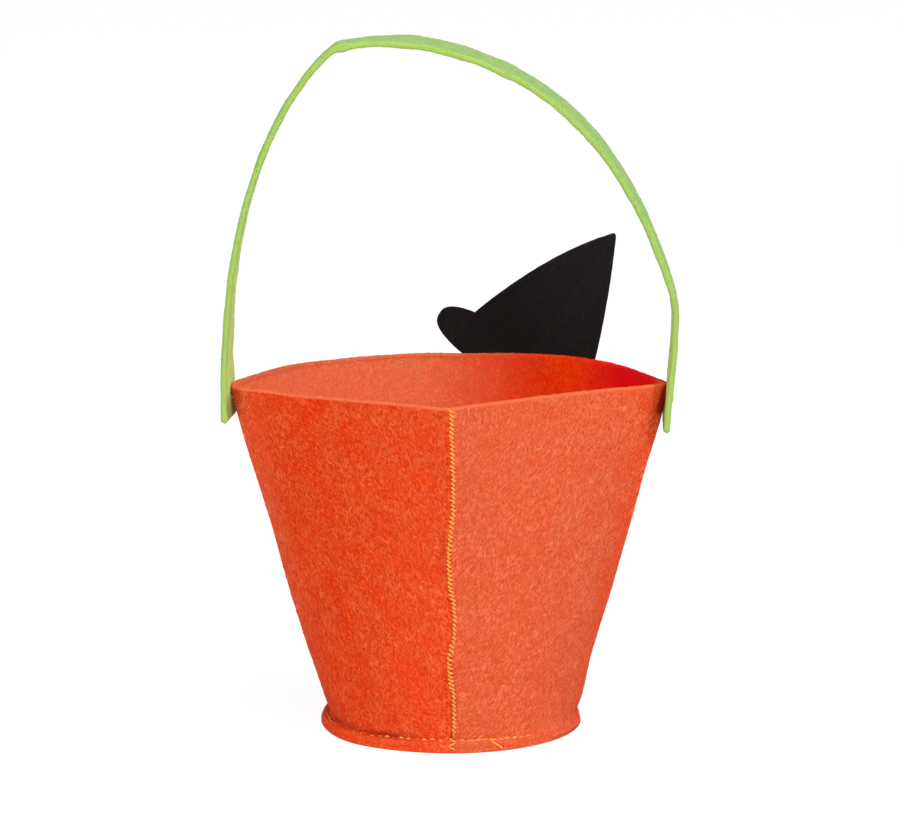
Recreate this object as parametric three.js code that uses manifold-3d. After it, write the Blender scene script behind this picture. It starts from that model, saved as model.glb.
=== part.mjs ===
// Felt trick-or-treat basket. One felt wall is round where it is sewn to the base disc and pinched to two
// corners at the mouth. Its two edges meet in a zigzag seam at the back. A felt strap handle is tacked to
// the corners, and felt cut-outs of a witch hat and a pumpkin face are glued to the front.
// Millimetres, +Z up. The origin is the middle of the base's underside, and the seam faces -Y.
import * as THREE from "three";
import { mergeVertices } from "three/addons/utils/BufferGeometryUtils.js";
import Module from "manifold-3d";

const wasm = await Module();
wasm.setup();

// Felt, thread and clearances
const WALL_FELT = 3;
const BASE_FELT = 2.5;
const STRAP_FELT = 3;
const TRIM_FELT = 2;
const THREAD_RADIUS = 0.3;
const SEAT_GAP = 0.3; // between pieces that lie against each other
const SEAM_GAP = 0.35; // between the wall's two edges at the back

// Base and flange
const NECK_RADIUS = 57.6; // outside of the wall, just above the flange
const FLANGE_RADIUS = 60.4;
const BASE_OVERHANG = 0.6; // of the base disc, past the flange
const FOLD_RADIUS = 0.8; // outside of the fold between wall and flange
const INNER_CORNER = 0.5; // inside radius of the wall at a pinched corner
const SIDE_BELLY = 1.7; // how far the wall bows out at its two sides, half way up

// Mouth: the wall's inner line at the rim, [x, y, z], with each end's pull on the curve as [x, y]
const MOUTH_BACK = [0, -66, 164.9];
const MOUTH_LEFT = [-98, 0, 161];
const MOUTH_FRONT = [22, 52.5, 164.4];
const MOUTH_RIGHT = [97, 0, 162.2];
const PULLS = {
  backLeft: { from: [-30, 15.5], to: [33, -25] },
  leftFront: { from: [33, 54.5], to: [-77, 0] },
  frontRight: { from: [33, 0], to: [-25.5, 54.5] },
  rightBack: { from: [-31.5, -18.5], to: [29, 23.5] },
};

// Strap handle
const STRAP_WIDTH = 25;
const STRAP_EDGE = 0.6; // chamfer along its edges
const LEFT_CLEARANCE = 1.25; // from each corner of the mouth to the strap's inner face
const RIGHT_CLEARANCE = 0.9;
const LEFT_TAIL = 16; // how far each end hangs below the rim
const RIGHT_TAIL = 20;
const LEFT_TUCK = 1; // how far each end leans in to the wall
const RIGHT_TUCK = 1.6;
const KINK_X = -52.2;
const KINK_RISE = 159.8; // above the left corner
const FLANK_X = 14.3; // a point of the arch on its way down
const FLANK_RISE = 153.1; // above the left corner
const FLANK_SLOPE = -20.9; // degrees
const SHOULDER_TUCK = 0.5; // where the arch turns into the right leg, in from the leg's root
const SHOULDER_RISE = 44; // above the right corner
const STRAP_PULLS = {
  leftLeg: { from: [-5.6, 90], to: [-30.4, -24.5] },
  kink: [13.5, 1],
  beforeFlank: 36.9,
  afterFlank: 52.3,
  aboveShoulder: [-15.8, 48.5],
  rightLeg: { from: [4.3, -12.5], to: [0.7, 15.2] },
};
// Degrees, in order from the left end
const TWIST = {
  leftTail: -10,
  leftRim: -3.5,
  leftMiddle: -2.3,
  kink: -6,
  top: 0,
  flank: 0.6,
  arch: 2.5,
  right: 0.4,
};

// Handle tacks: the handle leans on these
const HINGE_Z = 155;
const SHANK_RADIUS = 0.9;
const KNOT_RADIUS = 1.4;
const TACK_LENGTH = 8;
const TACK_WIDTH = 1.4;
const TACK_THICK = 0.8;
const TACK_GAP = 0.9; // the strap turns a little under the tack

// Stitches
const ZIGZAG_WIDTH = 2.3;
const ZIGZAG_PITCH = 2.05;
const RUNNING_PITCH = 3.7;
const RUNNING_RISE = 0.35;
const STITCH_RADIUS = 59.4;
const SEWING_START = 3; // degrees from the back seam to each end of the base stitching

// Witch hat, in its own frame: x along the brim, y up the crown, from the middle of the crown's foot
const HAT_X = 40;
const HAT_Z = 166;
const HAT_TILT = 33.5;
const CROWN_HEIGHT = 68; // to where its sides would meet
const CROWN_LEFT = 33.7; // the crown's foot, to each side of its tip
const CROWN_RIGHT = 30;
const LEFT_BULGE = 3; // how far each side of the crown bows out
const RIGHT_BULGE = 1.4;
const TIP_ROUNDING = 3;
const BRIM_HALF = 47.4;
const BRIM_RISE = 11.6;
const BRIM_DROP = 10.7; // from the crown's foot to the brim's middle
const BRIM_FULLNESS = 2.6; // 2 is an ellipse, and more makes its ends blunter

// Pumpkin face
const EYE_X = 25;
const EYE_Z = 97;
const EYE_WIDTH = 27;
const EYE_HEIGHT = 23;
const NOSE_Z = 76;
const NOSE_WIDTH = 15;
const NOSE_HEIGHT = 12;
const MOUTH_Z = 62;
const MOUTH_WIDTH = 84;
const MOUTH_SAG = 26;
const MOUTH_DEPTH = 15;
const TOOTH_WIDTH = 10;
const TOOTH_HEIGHT = 7;

// How finely curves are divided
const BACK_STEPS = 13;
const FRONT_STEPS = 15;
const CORNER_STEPS = 4;
const WALL_ROWS = 8;
const FOLD_STEPS = 3;
const CORNER_SPREAD = 1.2; // width of the corner's crease at the base
const BASE_SIDES = 72;
const CURVE_STEPS = 10;
const BRIM_STEPS = 40;

const rad = THREE.MathUtils.degToRad;
const lerp = THREE.MathUtils.lerp;

// Worked out from the sizes above
const outerCorner = INNER_CORNER + WALL_FELT;
const coreRadius = NECK_RADIUS - outerCorner;
const baseRadius = FLANGE_RADIUS + BASE_OVERHANG;
const flangeTop = BASE_FELT + SEAT_GAP + WALL_FELT;
const foldTop = flangeTop + FOLD_RADIUS;
const threadLift = SEAT_GAP + THREAD_RADIUS;

// Solids

// Closes rings of equal length, one after another, into a solid. A ring is [Vector3, ...].
function loft(rings, looped = false) {
  const size = rings[0].length;
  const index = [];
  const spans = looped ? rings.length : rings.length - 1;
  for (let i = 0; i < spans; i++) {
    const a = i * size;
    const b = ((i + 1) % rings.length) * size;
    for (let j = 0; j < size; j++) {
      const k = (j + 1) % size;
      index.push(a + j, b + j, b + k, a + j, b + k, a + k);
    }
  }
  if (!looped) {
    const last = (rings.length - 1) * size;
    for (let j = 0; j < size / 2 - 1; j++) {
      const k = size - 1 - j;
      index.push(j, j + 1, k - 1, j, k - 1, k);
      index.push(last + j, last + k - 1, last + j + 1, last + j, last + k, last + k - 1);
    }
  }
  const geometry = new THREE.BufferGeometry().setFromPoints(rings.flat());
  geometry.setIndex(index);
  return signedVolume(geometry) < 0 ? turnedInsideOut(geometry) : geometry;
}

function signedVolume(geometry) {
  const p = geometry.getAttribute("position");
  const index = geometry.getIndex();
  const [a, b, c] = [new THREE.Vector3(), new THREE.Vector3(), new THREE.Vector3()];
  let sum = 0;
  for (let i = 0; i < index.count; i += 3) {
    [a, b, c].forEach((v, k) => v.fromBufferAttribute(p, index.getX(i + k)));
    sum += a.dot(b.cross(c)) / 6;
  }
  return sum;
}

function turnedInsideOut(geometry) {
  const index = Array.from(geometry.getIndex().array);
  for (let i = 0; i < index.length; i += 3) [index[i + 1], index[i + 2]] = [index[i + 2], index[i + 1]];
  return geometry.setIndex(index);
}

function solid(geometry) {
  const bare = new THREE.BufferGeometry().setAttribute("position", geometry.getAttribute("position"));
  bare.setIndex(geometry.getIndex());
  const merged = mergeVertices(bare, 1e-4);
  return new wasm.Manifold(
    new wasm.Mesh({
      numProp: 3,
      vertProperties: new Float32Array(merged.getAttribute("position").array),
      triVerts: new Uint32Array(merged.getIndex().array),
    }),
  );
}

function geometryOf(manifold) {
  const mesh = manifold.getMesh();
  const geometry = new THREE.BufferGeometry();
  geometry.setAttribute("position", new THREE.BufferAttribute(mesh.vertProperties, 3));
  geometry.setIndex(new THREE.BufferAttribute(mesh.triVerts, 1));
  return geometry;
}

// A thread through the given points, with the ring at each bend in the plane that halves the bend.
function thread(points, sides = 4) {
  const up = new THREE.Vector3(0, 0, 1);
  return loft(
    points.map((point, i) => {
      const before = point.clone().sub(points[Math.max(i - 1, 0)]).normalize();
      const after = points[Math.min(i + 1, points.length - 1)].clone().sub(point).normalize();
      const along = before.clone().add(after).normalize();
      const inBend = after.clone().sub(before);
      const stretch = 1 / Math.max(Math.sqrt(1 - inBend.lengthSq() / 4), 0.5);
      const side = inBend.lengthSq() > 1e-6 ? inBend.normalize() : along.clone().cross(up).normalize();
      const lift = along.clone().cross(side).normalize();
      if (lift.dot(up) < 0 || (lift.z === 0 && side.x < 0)) {
        lift.negate();
        side.negate();
      }
      return Array.from({ length: sides }, (_, k) => {
        const a = (2 * Math.PI * (k + 0.5)) / sides;
        return point
          .clone()
          .addScaledVector(side, THREAD_RADIUS * Math.cos(a) * stretch)
          .addScaledVector(lift, THREAD_RADIUS * Math.sin(a));
      });
    }),
  );
}

// Wall: a ruled surface from the base circle to the mouth

const mouthCurves = [
  [MOUTH_BACK, PULLS.backLeft, MOUTH_LEFT, BACK_STEPS],
  [MOUTH_LEFT, PULLS.leftFront, MOUTH_FRONT, FRONT_STEPS],
  [MOUTH_FRONT, PULLS.frontRight, MOUTH_RIGHT, FRONT_STEPS],
  [MOUTH_RIGHT, PULLS.rightBack, MOUTH_BACK, BACK_STEPS],
].map(([from, pull, to, steps], i) => {
  const start = new THREE.Vector3(...from);
  const end = new THREE.Vector3(...to);
  if (i === 0) start.x -= SEAM_GAP / 2;
  if (i === 3) end.x += SEAM_GAP / 2;
  const pulledStart = start.clone().add(new THREE.Vector3(...pull.from, 0));
  const pulledEnd = end.clone().add(new THREE.Vector3(...pull.to, 0));
  const curve = new THREE.CubicBezierCurve3(start, pulledStart, pulledEnd, end);
  return { curve, steps, length: curve.getLength() };
});
const mouthLength = mouthCurves.reduce((sum, part) => sum + part.length, 0);
const seamAngle = SEAM_GAP / 2 / coreRadius;

function heading(curve, at) {
  const along = curve.getTangentAt(at);
  return Math.atan2(along.y, along.x);
}

// The nearest way round from one heading to another.
function turn(from, to) {
  return Math.atan2(Math.sin(to - from), Math.cos(to - from));
}

function column(rim, angle, reach) {
  return { rim, angle, around: lerp(seamAngle, 2 * Math.PI - seamAngle, reach / mouthLength) };
}

// Columns where the wall turns a corner share one point of the mouth and fan out round it.
function cornerColumns(rim, from, to, reach, steps, lean) {
  return Array.from({ length: steps + 1 }, (_, k) => {
    const share = k / steps;
    const spread = CORNER_SPREAD * (share - lean) * (steps / CORNER_STEPS);
    return column(rim, from + turn(from, to) * share, reach + spread);
  });
}

function wallColumns() {
  const columns = [];
  let reach = 0;
  mouthCurves.forEach(({ curve, steps, length }, i) => {
    const first = curve.getPointAt(0);
    const start = heading(curve, 0);
    const half = CORNER_STEPS / 2;
    if (i === 0) columns.push(...cornerColumns(first, Math.PI, start, 0, half, 0));
    else if (i === 2) columns.push(column(first, start, reach));
    else {
      const end = heading(mouthCurves[i - 1].curve, 1);
      columns.push(...cornerColumns(first, end, start, reach, CORNER_STEPS, 0.5));
    }
    for (let k = 1; k < steps; k++) {
      const share = k / steps;
      columns.push(column(curve.getPointAt(share), heading(curve, share), reach + length * share));
    }
    reach += length;
    if (i === 3) {
      columns.push(...cornerColumns(curve.getPointAt(1), heading(curve, 1), Math.PI, reach, half, 1));
    }
  });
  return columns;
}

const columns = wallColumns();
const fullColumn = CORNER_STEPS / 2; // the first column past the rounding of the back seam

function radial(around) {
  return new THREE.Vector3(-Math.sin(around), -Math.cos(around), 0);
}

// Outward in plan, at height t from 0 at the fold to 1 at the rim. The base circle's direction and the
// mouth's are mixed by how long each is there, as the surface's own tangent is.
function planNormal({ angle, around }, t) {
  const round = 2 * Math.PI * coreRadius * (1 - t);
  const pinched = mouthLength * t;
  const x = -Math.cos(around) * round + Math.cos(angle) * pinched;
  const y = Math.sin(around) * round + Math.sin(angle) * pinched;
  return new THREE.Vector3(-y, x, 0).normalize();
}

// The belly is fullest half way up, dies away towards the base and the rim, and keeps to the two sides.
function corePoint({ rim, around }, t) {
  const point = radial(around).multiplyScalar(coreRadius).setZ(foldTop).lerp(rim, t);
  point.x -= SIDE_BELLY * Math.sin(around) ** 3 * (1 - (2 * t - 1) ** 4);
  return point;
}

function wallPoint(at, t, offset) {
  return corePoint(at, t).addScaledVector(planNormal(at, t), offset);
}

// Radius and height of the fold's quarter turn, from the wall down to the flange.
function foldLine(radius) {
  return Array.from({ length: FOLD_STEPS }, (_, k) => {
    const a = Math.PI * (1 + (k + 1) / (2 * FOLD_STEPS));
    return [NECK_RADIUS + FOLD_RADIUS + radius * Math.cos(a), foldTop + radius * Math.sin(a)];
  });
}

function wallRing(at) {
  const rows = Array.from({ length: WALL_ROWS + 1 }, (_, k) => 1 - k / WALL_ROWS);
  const outerFold = [...foldLine(FOLD_RADIUS), [FLANGE_RADIUS, flangeTop]];
  const innerFold = [...foldLine(FOLD_RADIUS + WALL_FELT), [FLANGE_RADIUS, flangeTop - WALL_FELT]];
  const folded = ([r, z]) => radial(at.around).multiplyScalar(r).setZ(z);
  return [
    ...rows.map((t) => wallPoint(at, t, outerCorner)),
    ...outerFold.map(folded),
    ...innerFold.reverse().map(folded),
    ...rows.reverse().map((t) => wallPoint(at, t, INNER_CORNER)),
  ];
}

function hingeHole() {
  const length = 2 * (MOUTH_RIGHT[0] - MOUTH_LEFT[0]);
  const hole = new THREE.CylinderGeometry(SHANK_RADIUS + SEAT_GAP, SHANK_RADIUS + SEAT_GAP, length, 8);
  return solid(hole.rotateZ(Math.PI / 2).translate(0, 0, HINGE_Z));
}

function wallPanel() {
  return geometryOf(solid(loft(columns.map(wallRing))).subtract(hingeHole()));
}

function baseDisc() {
  const edge = BASE_FELT / 6;
  const profile = [
    [0, 0],
    [baseRadius - edge, 0],
    [baseRadius, edge],
    [baseRadius, BASE_FELT - edge],
    [baseRadius - edge, BASE_FELT],
    [0, BASE_FELT],
  ].map(([r, z]) => new THREE.Vector2(r, z));
  return new THREE.LatheGeometry(profile, BASE_SIDES).rotateX(Math.PI / 2);
}

// Seams

// A point beside the back seam: across it by a signed distance, at height t, lifted off the outside.
function seamPoint(across, t, lift) {
  const at = across < 0 ? columns[fullColumn] : columns[columns.length - 1 - fullColumn];
  const side = Math.sign(across);
  const normal = planNormal(at, t);
  const most = Math.acos(THREE.MathUtils.clamp(-normal.y, -1, 1));
  const bend = Math.min(Math.abs(across) / outerCorner, most);
  const rest = Math.abs(across) - bend * outerCorner;
  const out = new THREE.Vector3(side * Math.sin(bend), -Math.cos(bend), 0);
  const along = new THREE.Vector3(side * Math.cos(bend), Math.sin(bend), 0);
  const reach = rest > 0 ? rest : 0;
  return corePoint(at, t).addScaledVector(out, outerCorner + lift).addScaledVector(along, reach);
}

// Down the wall from the rim, then out over the flange, half a stitch to each side.
function backSeamThread() {
  const cornerZ = flangeTop + threadLift;
  const wallLength = MOUTH_BACK[2] - cornerZ - FOLD_RADIUS;
  const stitches = Math.round(wallLength / ZIGZAG_PITCH);
  const points = [];
  const rest = ZIGZAG_PITCH / 8; // each side's short run along the seam
  for (let k = 0; k < 2 * stitches; k++) {
    const side = k % 2 ? 1 : -1;
    const middle = MOUTH_BACK[2] - ((k + 0.5) / (2 * stitches)) * wallLength;
    for (const z of [middle + rest, middle - rest]) {
      const t = (z - foldTop) / (MOUTH_BACK[2] - foldTop);
      points.push(seamPoint((side * ZIGZAG_WIDTH) / 2, t, threadLift));
    }
  }
  const flangeStart = NECK_RADIUS + threadLift;
  const across = [ZIGZAG_WIDTH / 2, -ZIGZAG_WIDTH / 2];
  points.push(new THREE.Vector3(0, -flangeStart, cornerZ));
  across.forEach((x, k) => {
    const r = lerp(flangeStart, FLANGE_RADIUS, (k + 1) / across.length);
    points.push(new THREE.Vector3(x, -r, cornerZ));
  });
  return thread(points);
}

// Running stitches round the flange, each rising a little between its needle holes.
function baseSeamThread() {
  const sweep = 2 * Math.PI - 2 * rad(SEWING_START);
  const stitches = Math.round((sweep * STITCH_RADIUS) / RUNNING_PITCH);
  const points = [];
  for (let k = 0; k <= 2 * stitches; k++) {
    const around = rad(SEWING_START) + (sweep * k) / (2 * stitches);
    const rise = k % 2 ? RUNNING_RISE : 0;
    points.push(radial(around).multiplyScalar(STITCH_RADIUS).setZ(flangeTop + threadLift + rise));
  }
  return thread(points);
}

// Handle

const leftRoot = MOUTH_LEFT[0] - outerCorner - LEFT_CLEARANCE - STRAP_FELT / 2;
const rightRoot = MOUTH_RIGHT[0] + outerCorner + RIGHT_CLEARANCE + STRAP_FELT / 2;
const kink = [KINK_X, MOUTH_LEFT[2] + KINK_RISE];
const flank = [FLANK_X, MOUTH_LEFT[2] + FLANK_RISE];
const shoulder = [rightRoot - SHOULDER_TUCK, MOUTH_RIGHT[2] + SHOULDER_RISE];
const leftEnd = [leftRoot + LEFT_TUCK, MOUTH_LEFT[2] - LEFT_TAIL];
const rightEnd = [rightRoot - RIGHT_TUCK, MOUTH_RIGHT[2] - RIGHT_TAIL];
const slope = [Math.cos(rad(FLANK_SLOPE)), Math.sin(rad(FLANK_SLOPE))];

function along([x, z], reach) {
  return [x * reach, z * reach];
}

// One run of the strap's middle line: a curve from start to end, pulled by an offset at each.
function strapRun(start, startPull, endPull, end, twists, steps) {
  const pulls = [start, startPull, endPull, end].map(([x, z]) => new THREE.Vector3(x, 0, z));
  pulls[1].add(pulls[0]);
  pulls[2].add(pulls[3]);
  return { curve: new THREE.CubicBezierCurve3(...pulls), twists, steps };
}

// The strap's middle line, [x, z], as four runs: up the left leg, over the top, down the flank of the arch and
// down the right leg. Twists are at even steps along each run.
const { leftLeg, beforeFlank, afterFlank, aboveShoulder, rightLeg } = STRAP_PULLS;
const leftTwists = [TWIST.leftTail, TWIST.leftRim, TWIST.leftMiddle, TWIST.leftMiddle, TWIST.kink];
const overTop = [TWIST.kink, TWIST.top, TWIST.flank];
const downArch = [TWIST.flank, TWIST.arch, TWIST.right];
const strapRuns = [
  strapRun(leftEnd, leftLeg.from, leftLeg.to, kink, leftTwists, 18),
  strapRun(kink, STRAP_PULLS.kink, along(slope, -beforeFlank), flank, overTop, 10),
  strapRun(flank, along(slope, afterFlank), aboveShoulder, shoulder, downArch, 16),
  strapRun(shoulder, rightLeg.from, rightLeg.to, rightEnd, [TWIST.right, TWIST.right], 8),
];

// Where the strap is along a run: its middle, the way across its width and the way out of its outer face.
function strapFrame({ curve, twists }, share, way = curve.getTangentAt(share)) {
  const place = share * (twists.length - 1);
  const whole = Math.min(Math.floor(place), twists.length - 2);
  const twist = rad(lerp(twists[whole], twists[whole + 1], place - whole));
  const across = new THREE.Vector3(0, 1, 0);
  const out = new THREE.Vector3(-way.z, 0, way.x);
  return {
    middle: curve.getPointAt(share),
    across: across.clone().multiplyScalar(Math.cos(twist)).addScaledVector(out, Math.sin(twist)),
    out: out.clone().multiplyScalar(Math.cos(twist)).addScaledVector(across, -Math.sin(twist)),
  };
}

function strapRing({ middle, across, out }) {
  const half = STRAP_WIDTH / 2;
  const thick = STRAP_FELT / 2;
  const corners = [
    [-half + STRAP_EDGE, thick],
    [half - STRAP_EDGE, thick],
    [half, thick - STRAP_EDGE],
    [half, -thick + STRAP_EDGE],
    [half - STRAP_EDGE, -thick],
    [-half + STRAP_EDGE, -thick],
    [-half, -thick + STRAP_EDGE],
    [-half, thick - STRAP_EDGE],
  ];
  return corners.map(([w, h]) => middle.clone().addScaledVector(across, w).addScaledVector(out, h));
}

function handleStrap() {
  const rings = [];
  strapRuns.forEach((run, i) => {
    const next = strapRuns[i + 1];
    for (let k = i === 0 ? 0 : 1; k < run.steps; k++) rings.push(strapRing(strapFrame(run, k / run.steps)));
    const end = run.curve.getTangentAt(1);
    const shared = next ? end.add(next.curve.getTangentAt(0)).normalize() : end;
    rings.push(strapRing(strapFrame(run, 1, shared)));
  });
  return geometryOf(solid(loft(rings)).subtract(hingeHole()));
}

// The strap's frame where the hinge line goes through one of its legs.
function strapAtHinge(run) {
  let [low, high] = [0, 1];
  const rising = run.curve.getPointAt(1).z > run.curve.getPointAt(0).z;
  for (let k = 0; k < 30; k++) {
    const middle = (low + high) / 2;
    if (run.curve.getPointAt(middle).z < HINGE_Z === rising) low = middle;
    else high = middle;
  }
  return strapFrame(run, low);
}

// A tack: a thread shank from a knot inside the mouth's corner to a cross stitch outside the strap.
function handleTack(side) {
  const corner = columns.filter(({ rim }) => Math.abs(rim.y) < 1e-6 && Math.sign(rim.x) === side);
  const t = (HINGE_Z - foldTop) / (corner[0].rim.z - foldTop);
  const spread = planNormal(corner[0], t).angleTo(planNormal(corner[corner.length - 1], t));
  const inside = corePoint(corner[CORNER_STEPS / 2], t).x;
  const knotX = inside - side * ((KNOT_RADIUS + SEAT_GAP + INNER_CORNER) / Math.cos(spread / 2));
  const { middle, out } = strapAtHinge(side < 0 ? strapRuns[0] : strapRuns[strapRuns.length - 1]);
  const faceX = middle.x + (side * STRAP_FELT) / 2;
  const crossX = faceX + side * (TACK_GAP + TACK_THICK / 2);
  const shank = new THREE.CylinderGeometry(SHANK_RADIUS, SHANK_RADIUS, Math.abs(crossX - knotX), 8);
  shank.rotateZ(Math.PI / 2).translate((crossX + knotX) / 2, 0, 0);
  const knot = new THREE.SphereGeometry(KNOT_RADIUS, 8, 6).translate(knotX, 0, 0);
  const lean = Math.atan2(out.y, Math.abs(out.x)) * side;
  let made = solid(shank).add(solid(knot));
  for (const slant of [-1, 1]) {
    const bar = new THREE.BoxGeometry(TACK_THICK, TACK_WIDTH, TACK_LENGTH);
    bar.rotateX((slant * Math.PI) / 4).rotateZ(lean).translate(crossX, 0, 0);
    made = made.add(solid(bar));
  }
  return geometryOf(made).translate(0, 0, HINGE_Z);
}

// Cut-outs on the front

// A layer of felt over the front of the wall, up to the given share of the wall's height.
function frontLayer(topShare) {
  const inner = outerCorner + SEAT_GAP;
  const front = columns.filter(({ angle }) => Math.abs(angle) < rad(80));
  const rows = Array.from({ length: Math.ceil(topShare * WALL_ROWS) + 1 }, (_, k) => k / WALL_ROWS);
  const ring = (at) => [
    ...rows.map((t) => wallPoint(at, t, inner + TRIM_FELT)),
    ...[...rows].reverse().map((t) => wallPoint(at, t, inner)),
  ];
  return solid(loft(front.map(ring)));
}

// Cuts the layer by an outline seen from the front, given in x and z.
function cutOut(outline, layer) {
  const depth = 2 * baseRadius;
  const prism = new THREE.ExtrudeGeometry(outline, { depth, bevelEnabled: false, curveSegments: CURVE_STEPS });
  return geometryOf(layer.intersect(solid(prism.rotateX(Math.PI / 2).translate(0, depth, 0))));
}

function turned(outline, angle, x, z) {
  const points = outline.getPoints(CURVE_STEPS);
  return new THREE.Shape(
    points.map((p) => p.clone().rotateAround(new THREE.Vector2(), angle).add(new THREE.Vector2(x, z))),
  );
}

// Half the brim's height at x: a superellipse.
function brimHeight(x) {
  return BRIM_RISE * Math.max(1 - Math.abs(x / BRIM_HALF) ** BRIM_FULLNESS, 0) ** (1 / BRIM_FULLNESS);
}

// The crown's two bowed sides, from foot to tip on the left and from tip to foot on the right, then the brim.
function hatOutline() {
  const tip = new THREE.Vector2(0, CROWN_HEIGHT);
  const side = (x, bulge) => {
    const foot = new THREE.Vector2(x, brimHeight(x) - BRIM_DROP);
    const top = tip.clone().sub(foot).setLength(TIP_ROUNDING).multiplyScalar(-1).add(tip);
    const outward = new THREE.Vector2(tip.y - foot.y, foot.x - tip.x).normalize().multiplyScalar(Math.sign(x));
    return { foot, top, pull: foot.clone().lerp(top, 0.5).addScaledVector(outward, 2 * bulge) };
  };
  const left = side(-CROWN_LEFT, LEFT_BULGE);
  const right = side(CROWN_RIGHT, RIGHT_BULGE);
  const outline = new THREE.Shape();
  outline.moveTo(left.foot.x, left.foot.y);
  outline.quadraticCurveTo(left.pull.x, left.pull.y, left.top.x, left.top.y);
  outline.quadraticCurveTo(tip.x, tip.y, right.top.x, right.top.y);
  outline.quadraticCurveTo(right.pull.x, right.pull.y, right.foot.x, right.foot.y);
  const [from, to] = [Math.acos(CROWN_RIGHT / BRIM_HALF), Math.PI - Math.acos(CROWN_LEFT / BRIM_HALF)];
  for (let k = 1; k < BRIM_STEPS; k++) {
    const a = lerp(from, to - 2 * Math.PI, k / BRIM_STEPS);
    const x = BRIM_HALF * Math.cos(a);
    outline.lineTo(x, Math.sign(Math.sin(a)) * brimHeight(x) - BRIM_DROP);
  }
  return turned(outline, -rad(HAT_TILT), HAT_X, HAT_Z);
}

function triangle(x, z, width, height) {
  const outline = new THREE.Shape();
  outline.moveTo(x - width / 2, z - height / 2);
  outline.lineTo(x + width / 2, z - height / 2);
  outline.lineTo(x, z + height / 2);
  return outline;
}

// A grin: two sagging curves, with two teeth down from the upper one and one up from the lower.
function mouthOutline() {
  const half = MOUTH_WIDTH / 2;
  const upper = (x) => MOUTH_Z - (MOUTH_SAG - MOUTH_DEPTH) * (1 - (x / half) ** 2);
  const lower = (x) => MOUTH_Z - MOUTH_SAG * (1 - (x / half) ** 2);
  const xs = Array.from({ length: 2 * CURVE_STEPS + 1 }, (_, k) => lerp(-half, half, k / (2 * CURVE_STEPS)));
  const edge = (curve, teeth, drop) => {
    const clear = xs.filter((x) => teeth.every((m) => Math.abs(x - m) > TOOTH_WIDTH / 2));
    const points = clear.map((x) => [x, curve(x)]);
    for (const m of teeth) {
      const [a, b] = [m - TOOTH_WIDTH / 2, m + TOOTH_WIDTH / 2];
      points.push([a, curve(a)], [a + 1e-3, curve(a) + drop], [b - 1e-3, curve(b) + drop], [b, curve(b)]);
    }
    return points.sort((p, q) => p[0] - q[0]);
  };
  const top = edge(upper, [-half / 3, half / 3], -TOOTH_HEIGHT);
  const bottom = edge(lower, [0], TOOTH_HEIGHT);
  return new THREE.Shape([...bottom, ...top.reverse().slice(1, -1)].map(([x, z]) => new THREE.Vector2(x, z)));
}

// The basket

function felt(color) {
  return new THREE.MeshStandardMaterial({ color, roughness: 0.95, metalness: 0 });
}

const orange = felt(0xe85a28);
const green = felt(0xaacd5f);
const black = felt(0x1c1819);
const yarn = new THREE.MeshStandardMaterial({ color: 0xf59a2c, roughness: 0.6, metalness: 0 });

const hatLayer = frontLayer((HAT_Z + CROWN_HEIGHT) / Math.min(MOUTH_LEFT[2], MOUTH_RIGHT[2]));
const faceLayer = frontLayer(1);

const pieces = {
  wall_panel: [wallPanel(), orange],
  base_disc: [baseDisc(), orange],
  back_seam_thread: [backSeamThread(), yarn],
  base_seam_thread: [baseSeamThread(), yarn],
  handle_strap: [handleStrap(), green],
  left_handle_tack: [handleTack(-1), yarn],
  right_handle_tack: [handleTack(1), yarn],
  witch_hat: [cutOut(hatOutline(), hatLayer), black],
  left_eye: [cutOut(triangle(-EYE_X, EYE_Z, EYE_WIDTH, EYE_HEIGHT), faceLayer), black],
  right_eye: [cutOut(triangle(EYE_X, EYE_Z, EYE_WIDTH, EYE_HEIGHT), faceLayer), black],
  nose: [cutOut(triangle(0, NOSE_Z, NOSE_WIDTH, NOSE_HEIGHT), faceLayer), black],
  mouth: [cutOut(mouthOutline(), faceLayer), black],
};

const basket = new THREE.Group();
for (const [name, [geometry, material]] of Object.entries(pieces)) {
  const mesh = new THREE.Mesh(geometry, material);
  mesh.name = name;
  basket.add(mesh);
}

export default basket;
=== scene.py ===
import math

import bpy
import numpy as np
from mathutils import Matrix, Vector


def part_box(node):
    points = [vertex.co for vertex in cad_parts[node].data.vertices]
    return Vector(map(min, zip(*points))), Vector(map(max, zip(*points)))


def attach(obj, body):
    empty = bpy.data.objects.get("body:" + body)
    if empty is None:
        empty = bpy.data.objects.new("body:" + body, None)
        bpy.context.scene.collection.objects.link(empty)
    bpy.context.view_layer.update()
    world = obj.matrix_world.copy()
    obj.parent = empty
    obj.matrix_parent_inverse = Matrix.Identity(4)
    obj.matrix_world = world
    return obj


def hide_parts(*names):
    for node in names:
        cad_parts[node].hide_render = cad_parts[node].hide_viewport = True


# Felt trick-or-treat basket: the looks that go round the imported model.
# Sizes are in millimetres until a mesh is made.

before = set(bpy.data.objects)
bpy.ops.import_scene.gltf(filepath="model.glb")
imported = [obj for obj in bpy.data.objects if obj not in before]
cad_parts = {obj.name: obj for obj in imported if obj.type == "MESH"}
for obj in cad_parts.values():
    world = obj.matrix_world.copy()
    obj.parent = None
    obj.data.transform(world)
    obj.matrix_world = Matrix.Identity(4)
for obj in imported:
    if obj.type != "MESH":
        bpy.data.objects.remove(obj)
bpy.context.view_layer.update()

MM = 0.001
SEED = 31

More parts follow.
